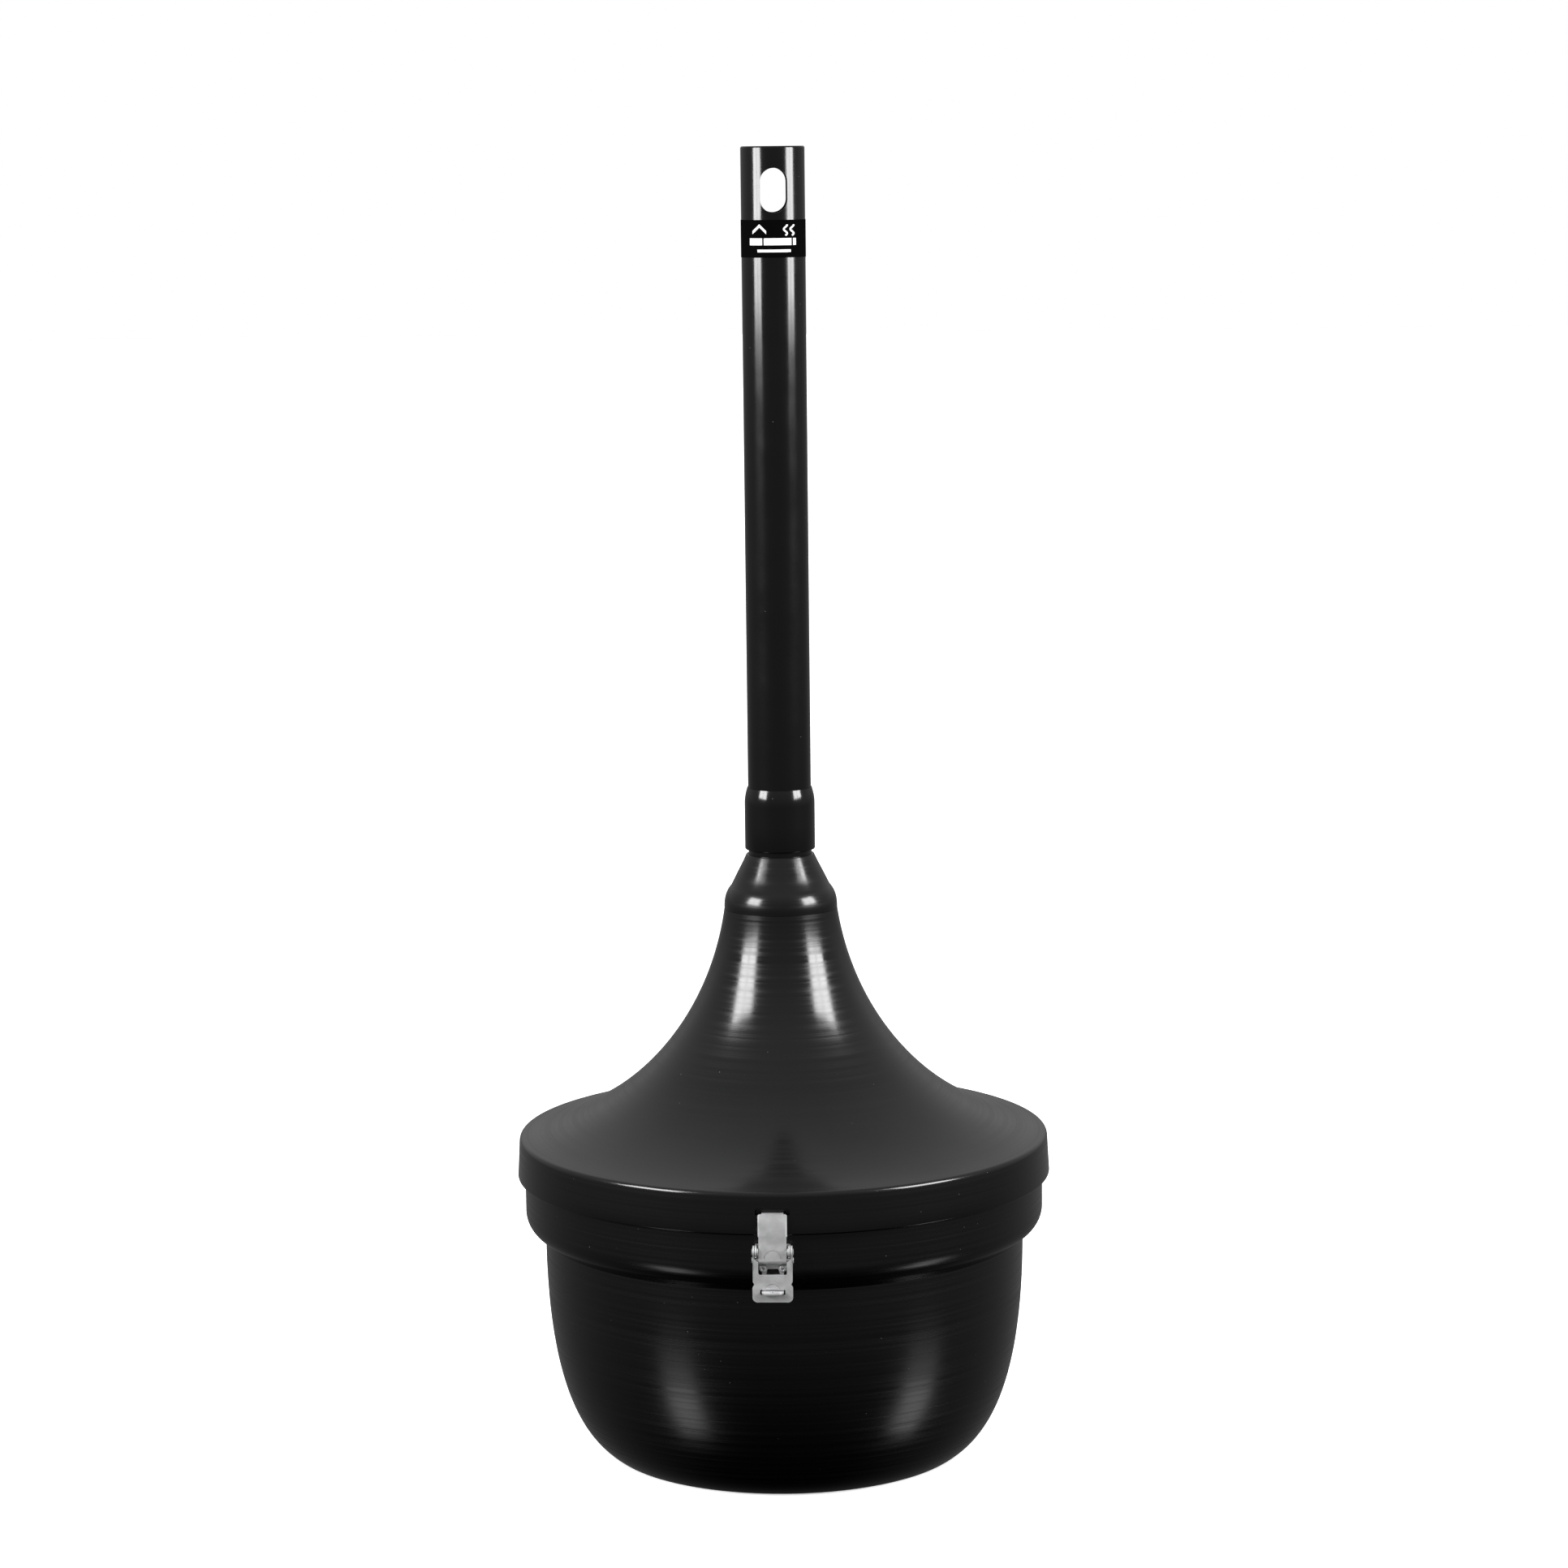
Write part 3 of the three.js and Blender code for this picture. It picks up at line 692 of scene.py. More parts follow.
def lid_paint():
    """Glossy powder coat on the spun lid."""
    return powder_coat("lid_powder_coat", tuple(looks().paint), 0.13, sizes().ring_depth / MM, 0.35)


def bowl_paint():
    """Duller powder coat on the bowl, with deeper rings."""
    return powder_coat("bowl_powder_coat", tuple(looks().paint), 0.17, 1.8 * sizes().ring_depth / MM, 0.35)


def pipe_paint():
    """Glossy powder coat on pipe."""
    return powder_coat("pipe_powder_coat", tuple(looks().paint), 0.13, 0, 0)


# ---- bowl ----

class BIN_OT_bowl(bpy.types.Operator):
    """Spin the bowl, with its floor, wall, stepped band and beaded rim"""

    bl_idname = "bin.bowl"
    bl_label = "Bowl"

    def execute(self, context):
        outside = [(BOLT_HOLE, KICK_HEIGHT)]
        outside += curve([
            (KICK_RADIUS - 4, KICK_HEIGHT), (KICK_RADIUS + 2, KICK_HEIGHT),
            (KICK_RADIUS + 6, 0), (KICK_RADIUS + 12, 0),
        ], 8)
        outside += curve([(FLOOR_RADIUS, 0), (170.5, 20.3), (185.6, 80), WALL_TOP], 44)
        outside += arc((BAND_RADIUS - SHOULDER_ROUND, SHOULDER_CENTRE), SHOULDER_ROUND, -55, 0, 14)
        outside += [(BAND_RADIUS, 205), (BAND_RADIUS, 225), (BAND_RADIUS, RIM_CENTRE)]
        bead = arc((BAND_RADIUS - RIM_BEAD, RIM_CENTRE), RIM_BEAD, 0, 270, 20)[1:]
        inside = [(BAND_RADIUS - SHEET, RIM_CENTRE - RIM_BEAD)] + beside(outside, SHEET)[-2::-1]
        bowl = spun("bowl", outside + bead + inside, sizes().spin_steps)
        for x in (-RIVET_X, RIVET_X):
            for start, end in ((190, 210), (-210, -190)):
                cut(bowl, along_front(rod("drill", RIVET_HOLE, start, end), x, RIVET_Z))
        finish(bowl, bowl_paint(), "base", "bowl_shell", 28)
        return {"FINISHED"}


class BIN_OT_ballast(bpy.types.Operator):
    """Turn the ballast disc with its bolt and nut"""

    bl_idname = "bin.ballast"
    bl_label = "Ballast"

    def execute(self, context):
        iron = cast_iron("cast_iron", tuple(looks().iron))
        steel = plated_steel("bolt_plating", tuple(looks().zinc))
        edge = 1.5
        disc = spun("ballast", [
            (BOLT_HOLE, BALLAST_LOW),
            (BALLAST_RADIUS - edge, BALLAST_LOW),
            *arc((BALLAST_RADIUS - edge, BALLAST_LOW + edge), edge, -90, 0, 5),
            *arc((BALLAST_RADIUS - edge, BALLAST_HIGH - edge), edge, 0, 90, 5),
            (BOLT_HOLE, BALLAST_HIGH),
        ], 96)
        finish(disc, iron, "base", "ballast_disc")
        head = low("ballast_bolt", 2)
        tip = high("ballast_bolt", 2)
        bolt = spun("ballast_bolt_turned", [
            (0, head),
            *curve([(4, head), (9, head + 0.1), (BOLT_HEAD, head + 1.6)], 8),
            (BOLT_HEAD, head + 3.5), (BOLT_RADIUS, head + 3.5),
            (BOLT_RADIUS, tip - 0.8), (4.2, tip), (0, tip),
        ], 48)
        finish(bolt, steel, "base", "ballast_bolt")
        hexagon = arc((0, 0), NUT_RADIUS, 0, 300, 5)
        nut = level_plate("ballast_nut_cut", hexagon, low("ballast_nut", 2), NUT_HEIGHT)
        cut(nut, rod("drill", BOLT_HOLE, 10, 40))
        finish(soften(nut, 0.4), steel, "base", "ballast_nut")
        return {"FINISHED"}


# ---- lid and pipework ----

class BIN_OT_lid(bpy.types.Operator):
    """Spin the bell-shaped lid and cut the latch slots in its skirt"""

    bl_idname = "bin.lid"
    bl_label = "Lid"

    def execute(self, context):
        edge = 1.5
        lip = arc((SKIRT_RADIUS - edge, SKIRT_LOW + edge), edge, -90, 0, 8)
        outside = [lip.pop(), (SKIRT_RADIUS - 0.5, 227), (SKIRT_RADIUS - 1, 236)]
        outside += curve([SKIRT_HIGH, (204.3, 248.1), LID_EDGE], 12)
        outside += curve([LID_EDGE, (121, 265.2), (57, 332.2), (NECK_RADIUS, NECK_TOP)], 72)[1:]
        lid = spun("lid", lip + outside + beside(outside, SHEET)[::-1], sizes().spin_steps)
        for side in (-1, 1):
            round_z = SLOT_HIGH - SLOT_CORNER
            corners = arc((SLOT_HALF_WIDTH - SLOT_CORNER, round_z), SLOT_CORNER, 0, 90, 6)
            corners += arc((-SLOT_HALF_WIDTH + SLOT_CORNER, round_z), SLOT_CORNER, 90, 180, 6)
            corners += [(-SLOT_HALF_WIDTH, SLOT_LOW), (SLOT_HALF_WIDTH, SLOT_LOW)]
            cut(lid, front_plate("punch", corners, side * 203 + 8, 16))
        finish(lid, lid_paint(), "lid", "lid_bell", 28)
        return {"FINISHED"}


class BIN_OT_neck(bpy.types.Operator):
    """Turn the reducer, the nipple and the coupling"""

    bl_idname = "bin.neck"
    bl_label = "Neck"

    def execute(self, context):
        paint = lid_paint()
        fit = TUBE_RADIUS + 0.3
        reducer = spun("reducer", [
            (38, REDUCER_LOW), (41, REDUCER_LOW), (41, NECK_TOP + 0.05),
            (43.3, NECK_TOP + 0.05), (43.5, NECK_TOP + 0.25),
            *curve([(43.5, 426), (43.3, 436), (38, 441.5)], 14),
            (33.8, 450), (28.7, 460),
            *arc((25.4, REDUCER_TOP - 0.8), 0.8, 20, 90, 4),
            (fit, REDUCER_TOP), (fit, 452), (38, 432),
        ], 128)
        finish(reducer, paint, "lid", "neck_reducer")
        plain = pipe_paint()
        nipple = spun("nipple", [
            (PIPE_BORE, NIPPLE_LOW), (TUBE_RADIUS - 0.6, NIPPLE_LOW), (TUBE_RADIUS, NIPPLE_LOW + 0.6),
            (TUBE_RADIUS, NIPPLE_TOP - 0.6), (TUBE_RADIUS - 0.6, NIPPLE_TOP), (PIPE_BORE, NIPPLE_TOP),
        ], 96)
        finish(nipple, plain, "lid", "neck_nipple")
        bore = TUBE_RADIUS + 0.2
        coupling = spun("coupling", [
            (bore, COUPLING_LOW),
            *arc((COUPLING_RADIUS - 1, COUPLING_LOW + 1), 1, -90, 0, 6),
            (COUPLING_RADIUS, 490),
            *curve([(COUPLING_RADIUS, 505), (COUPLING_RADIUS, 510), (bore + 1.6, 513.5),
                    (bore + 0.5, COUPLING_TOP)], 16),
            (bore, COUPLING_TOP),
        ], 128)
        finish(coupling, plain, "lid", "tube_coupling")
        return {"FINISHED"}


class BIN_OT_tube(bpy.types.Operator):
    """Turn the intake tube and its cap, and cut the opening through it"""

    bl_idname = "bin.tube"
    bl_label = "Tube"

    def execute(self, context):
        paint = pipe_paint()
        tube = spun("tube", [
            (PIPE_BORE, TUBE_LOW), (TUBE_RADIUS, TUBE_LOW), *[(TUBE_RADIUS, z) for z in TUBE_ROWS],
            *arc((TUBE_RADIUS - 1.5, TUBE_TOP - 1.5), 1.5, 0, 90, 8),
            (PIPE_BORE, TUBE_TOP),
        ], 128)
        half = HOLE_WIDTH / 2
        outline = arc((0, HOLE_HIGH - half), half, 0, 180, 32)
        outline += arc((0, HOLE_LOW + half), half, 180, 360, 32)
        cut(tube, settle(front_plate("punch", outline, 40, 80), (0, 0, HOLE_TURN)))
        finish(tube, paint, "lid", "intake_tube")
        cap = spun("cap", [
            (0, CAP_TOP - SHEET), (CAP_RADIUS - SHEET, CAP_TOP - SHEET),
            (CAP_RADIUS - SHEET, CAP_LOW), (CAP_RADIUS, CAP_LOW),
            *arc((CAP_RADIUS - 1, CAP_TOP - 1), 1, 0, 90, 6), (0, CAP_TOP),
        ], 96)
        finish(cap, paint, "lid", "tube_cap")
        return {"FINISHED"}


class BIN_OT_label(bpy.types.Operator):
    """Wrap the black label round the tube, with a plain cigarette sign on it"""

    bl_idname = "bin.label"
    bl_label = "Label"

    def execute(self, context):
        inner = TUBE_RADIUS + 0.05
        outer = TUBE_RADIUS + 0.3
        film = vinyl("label_film", (0.0006, 0.0006, 0.0006), 0.75, 0.03)
        label = spun("label", rectangle(inner, outer, LABEL_LOW, LABEL_HIGH), 128)
        finish(label, film, "lid", "tube_label")
        ink = vinyl("label_ink", tuple(looks().ink), 0.5)
        middle = (LABEL_LOW + LABEL_HIGH) / 2
        half = sizes().sign_width / MM / 2
        bar = [middle + z for z in SIGN_BAR]
        line = [middle + z for z in SIGN_LINE]
        strips = [
            ("sign_filter", rectangle(-half, -half + FILTER_END, *bar)),
            ("sign_paper", rectangle(-half + PAPER_START, half - PAPER_END, *bar)),
            ("sign_ember", rectangle(half - EMBER_START, half - EMBER_END, *bar)),
            ("sign_line", rectangle(-SIGN_LINE_HALF, SIGN_LINE_HALF, *line)),
            ("sign_chevron", [(-half + x, middle + z) for x, z in CHEVRON]),
        ]
        for index, start in enumerate(SMOKE_STARTS):
            wisp = []
            for step in range(14):
                sway = SMOKE_SWAY * math.sin(step / 10 * FULL_TURN)
                wisp.append((half - start + sway, middle + SMOKE_LOW + step * 0.62))
            outline = beside(wisp, -SMOKE_HALF) + beside(wisp, SMOKE_HALF)[::-1]
            strips.append((f"sign_smoke_{index + 1}", outline))
        for name, outline in strips:
            finish(printed(name, outline, label), ink, "lid", None)
        return {"FINISHED"}


def printed(name, outline, label):
    """A thin film of ink laid on the round label, from its outline as seen from the front."""
    start = -TUBE_RADIUS - 4
    film = trace(name, [(x, start, z) for x, z in outline])
    bpy.ops.mesh.edge_face_add()
    bpy.ops.mesh.quads_convert_to_tris(quad_method="BEAUTY", ngon_method="BEAUTY")
    for step in range(-20, 21):
        bpy.ops.mesh.select_all(action="SELECT")
        bpy.ops.mesh.bisect(plane_co=(step * MM, 0, 0), plane_no=(1, 0, 0))
    bpy.ops.mesh.select_all(action="SELECT")
    bpy.ops.mesh.normals_make_consistent(inside=False)
    bpy.ops.object.mode_set(mode="OBJECT")
    wrap = film.modifiers.new("wrap", "SHRINKWRAP")
    wrap.target = label
    wrap.wrap_method = "PROJECT"
    wrap.use_project_y = True
    wrap.use_positive_direction = True
    wrap.use_negative_direction = False
    wrap.offset = 0.01 * MM
    bpy.ops.object.modifier_apply(modifier=wrap.name)
    thick = film.modifiers.new("ink", "SOLIDIFY")
    thick.thickness = 0.04 * MM
    thick.offset = 0
    bpy.ops.object.modifier_apply(modifier=thick.name)
    return settle(film, (0, 0, HOLE_TURN))


# ---- latches ----

def latch_base():
    """The base plate with its two ears and the padlock eye."""
    eye_low = low("front_latch_base", 2)
    top = high("front_latch_base", 2)
    side = high("front_latch_base", 0)
    outline = [(-EYE_HALF, eye_low), (EYE_HALF, eye_low), (EYE_HALF, RIVET_Z - 4)]
    outline += arc((RIVET_X, RIVET_Z), RIVET_PAD, -75, 0, 8)
    outline += [(RIVET_X + RIVET_PAD, EAR_LOW - 1.6), (side, EAR_LOW)]
    outline += arc((side - LATCH_CORNER, top - LATCH_CORNER), LATCH_CORNER, 0, 90, 5)
    outline += [(-x, z) for x, z in outline[:1:-1]]
    base = front_plate("front_base_plate", outline, LATCH_BACK, LATCH_BACK - LATCH_FRONT)
    root = LATCH_BACK - 0.4
    ear = [(root, EAR_LOW), *arc(PIVOT, EAR_RADIUS, 270, 90, 18), (root, top)]
    eye_front = -210.7
    eye = [
        (-EYE_HALF, LATCH_BACK),
        *arc((EYE_ROUND - EYE_HALF, eye_front), EYE_ROUND, 180, 270, 10),
        *arc((EYE_HALF - EYE_ROUND, eye_front), EYE_ROUND, 270, 360, 10),
        (EYE_HALF, LATCH_BACK),
    ]
    join(base, side_plate("ear", ear, -side, GAUGE), side_plate("ear", ear, side - GAUGE, GAUGE),
         level_plate("eye", eye, eye_low, EYE_GAUGE))
    window = [(-5.2, 187), (5.2, 187), (3.9, 191.2), (-3.9, 191.2)]
    shackle_hole = arc((0, -212.6), 1.9, 0, 352.5, 47)
    cut(base, front_plate("window", window, -196, 10), level_plate("eye_hole", shackle_hole, 170, 10))
    for x in (-RIVET_X, RIVET_X):
        cut(base, along_front(rod("drill", RIVET_HOLE, 198, 206), x, RIVET_Z))
    cut(base, along_x(rod("drill", PIVOT_HOLE, -20, 20), *PIVOT))
    return soften(base, 0.3, 2)


def latch_rivet(x, name):
    """A blind rivet with its open domed head."""
    rivet = spun(name, [
        (0, 194.9), (2.2, 195.1), (2.7, 195.8), (2.7, 197.3), (2, 197.3), (2, 202.5), (2.8, 202.5),
        *curve([(2.8, 202.8), (2.4, 203.85), (1.2, 203.85)], 10), (0.95, 203.7), (0.85, 201.6), (0, 201.6),
    ], 40)
    return along_front(rivet, x, RIVET_Z)


def lever_pivot(mirror, name):
    """One of the two stub rivets that the lever turns on."""
    tail = high("front_latch_base", 0) - GAUGE - 0.3
    head = LEVER_HALF + 0.3
    stub = spun(name, [
        (0, tail - 0.7), (2.6, tail - 0.7), (2.8, tail - 0.5), (2.8, tail),
        (1.6, tail), (1.6, head), (2.5, head),
        *curve([(2.5, head + 0.2), (2.2, head + 0.45), (1.6, head + 0.45)], 5), (0, head + 0.45),
    ], 40)
    return along_x(stub, *PIVOT, mirror)


def latch_lever():
    """The lever: a notched face plate between two cheeks, slotted for the padlock eye."""
    edge = LEVER_HALF + 0.3
    half = LEVER_HALF
    top = LEVER_TOP
    notch = LEVER_NOTCH
    face = arc((edge - LEVER_CORNER, LEVER_LOW), LEVER_CORNER, 270, 360, 12)
    face += [(edge, notch - 2.2), (half - 0.9, notch - 0.4), (half - 0.9, notch + 0.4), (half, notch + 2)]
    face += [(half, top), (half - 1.2, top - 1.2), (10.7, top - 3.2), (10.4, top - 3.6)]
    face += arc((9, 190), 1.5, 0, -90, 6)
    face += [(-x, z) for x, z in face[::-1]]
    lever = front_plate("front_lever_pressed", face, LEVER_BACK, LEVER_BACK - LEVER_FRONT)
    cheek = [(LEVER_FRONT, 185), (-207, 185), (-206.4, 190), (-203.2, 195.9)]
    cheek += arc(HOOK_PIN, 3.2, -30, 10, 5)
    cheek += arc(PIVOT, EAR_RADIUS, 0, 200, 24)
    cheek += [(LEVER_FRONT, top)]
    join(lever, side_plate("cheek", cheek, -half, GAUGE), side_plate("cheek", cheek, half - GAUGE, GAUGE))
    slot = arc((8.2, 174.5), 1, -90, 0, 4) + arc((8.2, 176.7), 1, 0, 90, 4)
    slot += [(-x, z) for x, z in slot[::-1]]
    cut(lever, front_plate("slot", slot, -205, 10),
        along_x(rod("drill", PIVOT_HOLE, -20, 20), *PIVOT),
        along_x(rod("drill", PIN_HOLE, -20, 20), *HOOK_PIN))
    middle = (0, 175.4)
    moon = arc(middle, 6.6, 30, 150, 24) + arc(middle, 5.8, 150, 30, 24)
    cut(lever, front_plate("moon", moon, LEVER_FRONT + 0.5, 2))
    return soften(lever, 0.38, 3)


def hook_pin():
    """The pin that carries the hook between the lever's cheeks."""
    shank = LEVER_HALF + 0.3
    end = shank + 0.45
    pin = spun("front_pin_turned", [
        (0, -end), (2, -end), (2.2, 0.2 - end), (2.2, -shank), (1.5, -shank),
        (1.5, shank), (2.2, shank), (2.2, end - 0.2), (2, end), (0, end),
    ], 40)
    return along_x(pin, *HOOK_PIN)


def latch_hook():
    """The hook: an eye curled round the pin, a flat leg, a flanged strap and the tongue in the slot."""
    back = HOOK_BACK
    front = HOOK_FRONT
    half = HOOK_HALF
    top = high("front_hook", 2)
    bend = HOOK_BEND
    waist = HOOK_WAIST
    flange = [(-half, back), (-half, front + 0.75), (1.15 - half, front), (half - 1.15, front),
              (half, front + 0.75), (half, back)]
    strap = level_plate("front_hook_pressed", flange, waist, top - waist)
    corners = [(-half - 1, waist - 1), (half + 1, waist - 1), (half + 1, top - 4)]
    corners += arc((half - 1.6, top - 1.6), 1.6, 0, 90, 8)
    corners += [*arc((1.6 - half, top - 1.6), 1.6, 90, 180, 8), (-half - 1, top - 4)]
    trim(strap, front_plate("corners", corners, back + 2, 5))
    y, z = HOOK_PIN
    eye = HOOK_EYE
    leg = [(back, waist + 0.6), (front, waist + 0.6), (front, bend), (y - eye, z), (y - eye + GAUGE, z)]
    leg += [(back, bend)]
    join(strap, side_plate("leg", leg, -HOOK_EYE_HALF, 2 * HOOK_EYE_HALF),
         along_x(rod("eye", eye, -HOOK_EYE_HALF, HOOK_EYE_HALF, 64), y, z),
         block("tongue", (-TONGUE_HALF, front + 0.3, top - GAUGE), (TONGUE_HALF, TONGUE_TIP, top)))
    cut(strap, along_x(rod("drill", PIN_HOLE, -20, 20), y, z))
    soften(strap, 0.3, 3)
    lean = math.atan2(y - eye - front, bend - z)
    crescent = arc((0, 0), 6.8, 0, 180, 32) + arc((0, 0), 5.9, 180, 0, 32)
    moon = front_plate("moon", crescent, 0.45, 2)
    return cut(strap, settle(moon, (lean, 0, 0), (0, y - eye, z + 1)))


class BIN_OT_latches(bpy.types.Operator):
    """Press the front latch, and copy it to the rear"""

    bl_idname = "bin.latches"
    bl_label = "Latches"

    def execute(self, context):
        zinc = plated_steel("latch_plating", tuple(looks().zinc))
        pieces = [
            (latch_base(), "base_plate", "base", "latch_base"),
            (latch_rivet(-RIVET_X, "front_rivet_a"), "rivet_a", "base", "rivet_left"),
            (latch_rivet(RIVET_X, "front_rivet_b"), "rivet_b", "base", "rivet_right"),
            (lever_pivot(True, "front_stub_a"), "stub_a", "base", "pivot_left"),
            (lever_pivot(False, "front_stub_b"), "stub_b", "base", "pivot_right"),
            (latch_lever(), "lever_pressed", "latch_lever", "lever"),
            (hook_pin(), "pin_turned", "latch_lever", "hook_pin"),
            (latch_hook(), "hook_pressed", "latch_hook", "hook"),
        ]
        for piece, name, body, node in pieces:
            rear = copied(piece, f"rear_{name}", math.pi)
            for side, one in (("front", piece), ("rear", rear)):
                finish(one, zinc, body if body == "base" else f"{side}_{body}", f"{side}_{node}")
        return {"FINISHED"}


# ---- pail ----

class BIN_OT_pail(bpy.types.Operator):
    """Spin the inner pail and rivet on its ears"""

    bl_idname = "bin.pail"
    bl_label = "Pail"

    def execute(self, context):
        steel = galvanised_steel("galvanised_sheet", tuple(looks().galvanised))
        bead = (PAIL_RADIUS + 1.4, 229.4)
        outside = [(PAIL_RADIUS, PAIL_LOW)]
        for rib in (74, 150):
            outside += [(PAIL_RADIUS, rib - 4), (PAIL_RADIUS + 0.7, rib - 2), (PAIL_RADIUS + 1.1, rib),
                        (PAIL_RADIUS + 0.7, rib + 2), (PAIL_RADIUS, rib + 4)]
        outside += [(PAIL_RADIUS, 227.2)] + arc(bead, 2.5, -80, 160, 16)
        inner = PAIL_RADIUS - 1
        inside = [(inner, 229.4)]
        for rib in (150, 74):
            inside += [(inner, rib + 4), (inner + 0.7, rib + 2), (inner + 1.1, rib),
                       (inner + 0.7, rib - 2), (inner, rib - 4)]
        inside += [(inner, PAIL_FLOOR + 5)] + arc((inner - 4, PAIL_FLOOR + 5), 4, 0, -90, 6)[1:]
        inside += [(0, PAIL_FLOOR + 1)]
        underneath = [(0, PAIL_FLOOR), (inner, PAIL_FLOOR), (inner, PAIL_LOW)]
        pail = spun("pail", underneath + outside + inside, 144)
        for y in (-EAR_RIVET_Y, EAR_RIVET_Y):
            cut(pail, along_x(rod("drill", EAR_RIVET_HOLE, -160, 160), y, BAIL_PIVOT))
        finish(pail, steel, "pail", "pail_shell")
        for side, turn in (("right", 0.0), ("left", math.pi)):
            ear = settle(self.ear(f"ear_{side}"), (0, 0, turn))
            finish(ear, steel, "pail", f"pail_ear_{side}")
            for mark, y in (("a", -EAR_RIVET_Y), ("b", EAR_RIVET_Y)):
                rivet = spun(f"ear_{side}_rivet_{mark}", [
                    (0, 135.7), (1.8, 135.8), (2.3, 136.3), (2.3, 137.4),
                    (1.5, 137.4), (1.5, 142.1), (2.7, 142.1),
                    *curve([(2.7, 142.5), (2, 143.2), (0, 143.2)], 8),
                ], 32)
                settle(along_x(rivet, y, BAIL_PIVOT), (0, 0, turn))
                finish(rivet, steel, "pail", f"ear_rivet_{side}_{mark}")
        return {"FINISHED"}

    @staticmethod
    def ear(name):
        """A bridge-shaped ear, bent from one strip."""
        inner = STRAP_INNER
        outer = STRAP_OUTER
        gauge = STRAP_GAUGE
        half = STRAP_HALF
        foot = STRAP_FOOT
        section = [
            (inner, -foot), (inner + gauge, -foot), (inner + gauge, -half), (outer, -half), (outer, half),
            (inner + gauge, half), (inner + gauge, foot), (inner, foot), (inner, half - gauge),
            (outer - gauge, half - gauge), (outer - gauge, gauge - half), (inner, gauge - half),
        ]
        ear = level_plate(name, section, BAIL_PIVOT - 8, 16)
        cut(ear, along_x(rod("drill", BAIL_HOLE, 144, 152), 0, BAIL_PIVOT))
        for y in (-EAR_RIVET_Y, EAR_RIVET_Y):
            cut(ear, along_x(rod("drill", EAR_RIVET_HOLE, 130, 146), y, BAIL_PIVOT))
        return soften(ear, 0.35, 2)


class BIN_OT_bail(bpy.types.Operator):
    """Bend the bail handle and slide its grip on"""

    bl_idname = "bin.bail"
    bl_label = "Bail"

    def execute(self, context):
        steel = galvanised_steel("galvanised_sheet", tuple(looks().galvanised))
        straight = BAIL_HALF - BAIL_CORNER
        leg_end = BAIL_REACH - BAIL_CORNER
        right = [(143.4, 0), (148, 0)] + arc((BAIL_HALF - 3, 3), 3, -90, 0, 6)
        right += arc((straight, leg_end), BAIL_CORNER, 0, 90, 32)
        path = right + [(-u, v) for u, v in right[::-1]]
        away = Vector((0, -math.cos(BAIL_REST), -math.sin(BAIL_REST)))
        pivot = Vector((0, 0, BAIL_PIVOT))
        wire = trace("bail", [pivot + away * v + Vector((u, 0, 0)) for u, v in path], closed=False)
        bpy.ops.object.mode_set(mode="OBJECT")
        bpy.ops.object.convert(target="CURVE")
        wire.data.bevel_depth = BAIL_WIRE * MM
        wire.data.bevel_resolution = 6
        wire.data.use_fill_caps = True
        bpy.ops.object.convert(target="MESH")
        for mirror in (False, True):
            head = spun("head", [
                (0, BAIL_HEAD), (2.9, BAIL_HEAD), (3.2, 143.5), (3.2, 144.9), (2.9, 145.2), (0, 145.2),
            ], 32)
            join(wire, along_x(head, 0, BAIL_PIVOT, mirror))
        finish(wire, steel, "bail", "bail_wire", 40)
        half = sizes().grip_length / MM / 2
        bore = BAIL_WIRE + 0.4
        grip = spun("grip", [
            (bore, -half), *curve([(5.6, -half), (8, -half), (8, -half + 4)], 8), (7.2, -half + 12), (7, 0),
            (7.2, half - 12), *curve([(8, half - 4), (8, half), (5.6, half)], 8), (bore, half),
        ], 64)
        middle = pivot + away * BAIL_REACH
        along_x(grip, middle.y, middle.z)
        finish(grip, moulded_plastic("grip_plastic", (0.03, 0.03, 0.032)), "bail", "bail_grip")
        return {"FINISHED"}


# ---- stage ----

CAMERA_PLACE = (0.0035, -3.2498, 1.003)
CAMERA_PITCH = math.radians(8.462)
CAMERA_ROLL = math.radians(-0.635)
CAMERA_TURN = math.radians(2.4)

# Lights: places in metres, azimuths in degrees from the front, strengths as radiance
SOFTBOX_DISTANCE = 2.1
SOFTBOX_LOW = 0.865
SOFTBOX_HIGH = 1.95
SOFTBOX_WIDTH = 0.49
SOFTBOX_AZIMUTHS = (-57, 66)
SOFTBOX_HALF_TURN = 7.1
SOFTBOX_RADIANCE = 20
SHINE_WIDTH = 0.3
SHINE_BANDS = ((-1.95, -1.05, 2.3), (-1.05, -0.7, 0.8))
SHINE_AZIMUTHS = (-52, 73)
SHINE_HALF_TURN = 4.2
OVERHEAD_STRENGTH = 2.6
OVERHEAD_SPREAD = math.radians(100)

# Surroundings, by direction: they brighten upwards and a little to the back, and dim low down behind
# the bin. Ranges are (start, end, value at start, value at end).
ROOM_LEAN = 0.3
ROOM_LEVEL = (-0.95, 0.62, 0.0, 0.46)
BEHIND_WEIGHT = -4
BEHIND_DIM = (0.1, 0.9, 1.0, 0.6)


def softbox(name, azimuth, low_edge, high_edge, width, radiance):
    """Half of an upright soft light that faces the bin. Its azimuth is in degrees from the front."""
    angle = math.radians(azimuth)
    place = Vector((math.sin(angle), -math.cos(angle), 0)) * SOFTBOX_DISTANCE
    place.z = (low_edge + high_edge) / 2
    bpy.ops.object.light_add(type="AREA", location=place, rotation=(math.pi / 2, 0, angle))
    light = bpy.context.active_object
    light.name = name
    light.data.shape = "RECTANGLE"
    light.data.size = width
    light.data.size_y = high_edge - low_edge
    light.data.energy = radiance * math.pi * light.data.size * light.data.size_y
    light.visible_camera = False
    return light


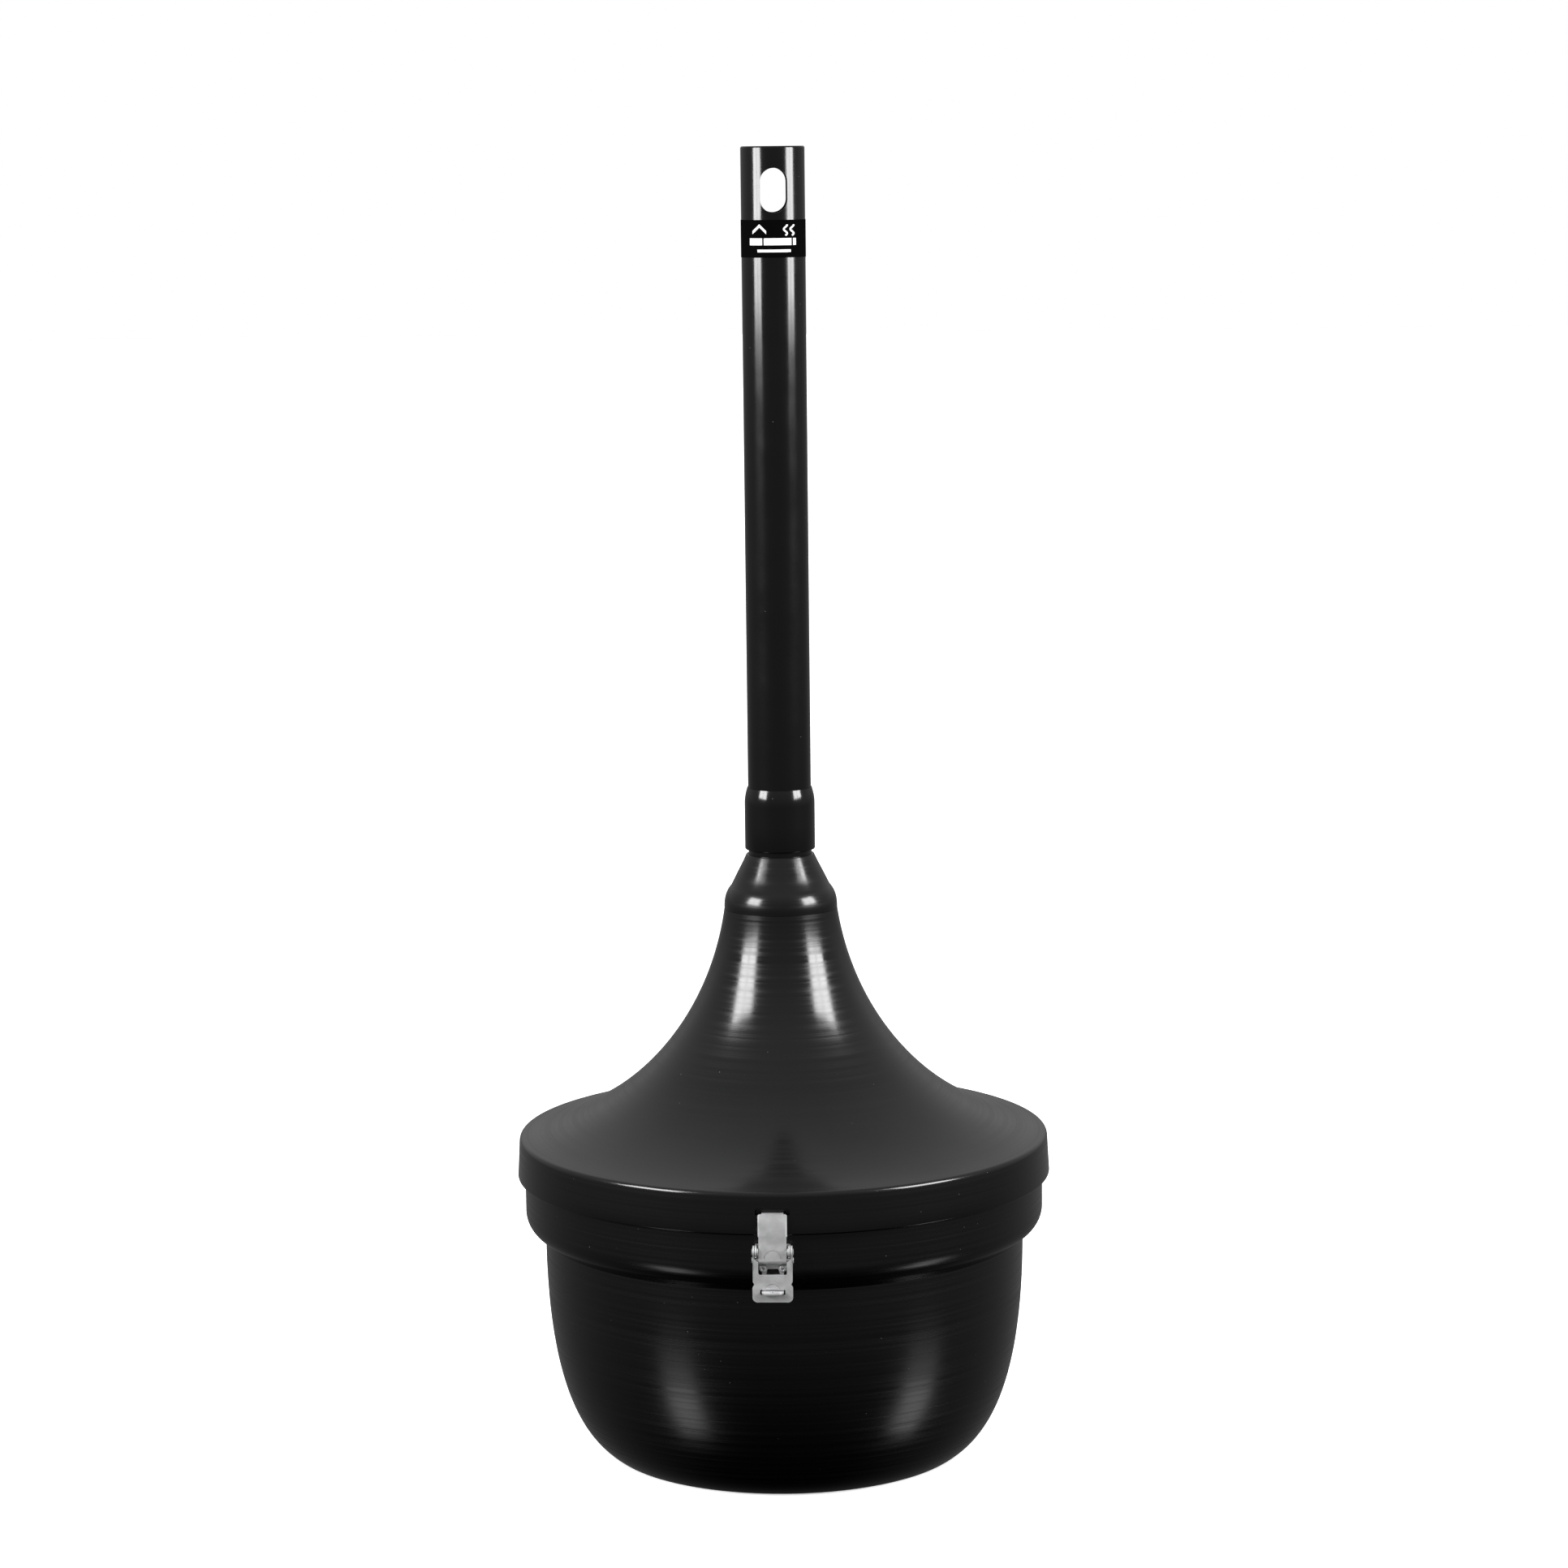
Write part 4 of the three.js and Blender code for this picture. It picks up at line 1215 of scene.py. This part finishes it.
class BIN_OT_stage(bpy.types.Operator):
    """Set the camera, the pale floor and the soft lights"""

    bl_idname = "bin.stage"
    bl_label = "Stage"

    def execute(self, context):
        bpy.ops.object.select_all(action="DESELECT")
        bpy.ops.object.camera_add()
        camera = bpy.context.active_object
        camera.name = "camera"
        camera.data.lens = sizes().lens
        camera.data.clip_end = 50
        turn = Matrix.Rotation(CAMERA_TURN, 4, "Z")
        tilt = Matrix.Rotation(math.pi / 2 - CAMERA_PITCH, 4, "X") @ Matrix.Rotation(CAMERA_ROLL, 4, "Z")
        camera.matrix_world = turn @ Matrix.Translation(CAMERA_PLACE) @ tilt
        context.scene.camera = camera
        self.floor()
        self.lights()
        self.surroundings(context.scene)
        context.scene.view_settings.view_transform = "Standard"
        return {"FINISHED"}

    @staticmethod
    def floor():
        """A wide pale floor. The low lights under it stand for its shine."""
        bpy.ops.mesh.primitive_plane_add(size=40, location=(0, 0, 0))
        floor = bpy.context.active_object
        floor.name = "studio_floor"
        floor.data.materials.append(studio_floor("studio_paper", tuple(looks().floor)))
        floor.visible_glossy = False
        floor.visible_diffuse = False
        floor.visible_shadow = False

    @staticmethod
    def lights():
        """Two pairs of upright softboxes, their dim images in the floor, and a very soft overhead light."""
        for side, azimuth, shine in zip(("left", "right"), SOFTBOX_AZIMUTHS, SHINE_AZIMUTHS):
            for half, turn in (("a", -1), ("b", 1)):
                softbox(f"softbox_{side}_{half}", azimuth + SOFTBOX_HALF_TURN * turn,
                        SOFTBOX_LOW, SOFTBOX_HIGH, SOFTBOX_WIDTH, SOFTBOX_RADIANCE)
                for low_edge, high_edge, radiance in SHINE_BANDS:
                    image = softbox(f"floor_shine_{side}_{half}", shine + SHINE_HALF_TURN * turn,
                                    low_edge, high_edge, SHINE_WIDTH, radiance)
                    image.visible_diffuse = False
        bpy.ops.object.light_add(type="SUN", location=(0, 0, 3))
        sun = bpy.context.active_object
        sun.name = "overhead"
        sun.data.energy = OVERHEAD_STRENGTH
        sun.data.angle = OVERHEAD_SPREAD
        sun.visible_glossy = False

    @staticmethod
    def surroundings(scene):
        """White to the camera. In reflections and as fill, a grey room that is dark below the floor."""
        world = bpy.data.worlds.new("studio")
        scene.world = world
        world.use_nodes = True
        work = NodeWork(world.node_tree)
        ray = work.add("ShaderNodeSeparateXYZ")
        work.link(work.add("ShaderNodeTexCoord").outputs["Generated"], ray.inputs["Vector"])
        leaning = work.weighted(ray.outputs["Y"], ROOM_LEAN, ray.outputs["Z"])
        behind = work.weighted(ray.outputs["Z"], BEHIND_WEIGHT, ray.outputs["Y"])
        level = work.times(work.remap(leaning, *ROOM_LEVEL), work.remap(behind, *BEHIND_DIM))
        room = work.add("ShaderNodeBackground")
        backdrop = work.add("ShaderNodeBackground")
        for background in (room, backdrop):
            background.inputs["Color"].default_value = (1, 1, 1, 1)
        work.link(level, room.inputs["Strength"])
        mix = work.add("ShaderNodeMixShader")
        work.link(work.add("ShaderNodeLightPath").outputs["Is Camera Ray"], mix.inputs[0])
        work.link(room.outputs["Background"], mix.inputs[1])
        work.link(backdrop.outputs["Background"], mix.inputs[2])
        output = work.add("ShaderNodeOutputWorld")
        work.link(mix.outputs["Shader"], output.inputs["Surface"])


OPERATORS = (
    BIN_OT_bowl, BIN_OT_ballast, BIN_OT_lid, BIN_OT_neck, BIN_OT_tube,
    BIN_OT_label, BIN_OT_latches, BIN_OT_pail, BIN_OT_bail, BIN_OT_stage,
)


class VIEW3D_PT_bin(bpy.types.Panel):
    """Buttons for the pieces of the ashtray bin"""

    bl_label = "Ashtray bin"
    bl_space_type = "VIEW_3D"
    bl_region_type = "UI"
    bl_category = "Ashtray bin"

    def draw(self, context):
        for group in (context.scene.bin_sizes, context.scene.bin_looks):
            for name in group.__annotations__:
                self.layout.prop(group, name)
        for operator in OPERATORS:
            self.layout.operator(operator.bl_idname)


CLASSES = (BinLooks, BinSizes, *OPERATORS, VIEW3D_PT_bin)


def register():
    """Add the classes and the scene's values to Blender."""
    for one in CLASSES:
        bpy.utils.register_class(one)
    bpy.types.Scene.bin_looks = bpy.props.PointerProperty(type=BinLooks)
    bpy.types.Scene.bin_sizes = bpy.props.PointerProperty(type=BinSizes)


def unregister():
    """Take them out again."""
    del bpy.types.Scene.bin_sizes
    del bpy.types.Scene.bin_looks
    for one in reversed(CLASSES):
        bpy.utils.unregister_class(one)


def main():
    """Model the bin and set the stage."""
    register()
    bpy.ops.object.select_all(action="DESELECT")
    bpy.ops.bin.bowl()
    bpy.ops.bin.ballast()
    bpy.ops.bin.lid()
    bpy.ops.bin.neck()
    bpy.ops.bin.tube()
    bpy.ops.bin.label()
    bpy.ops.bin.latches()
    bpy.ops.bin.pail()
    bpy.ops.bin.bail()
    bpy.ops.bin.stage()


if __name__ == "__main__":
    main()
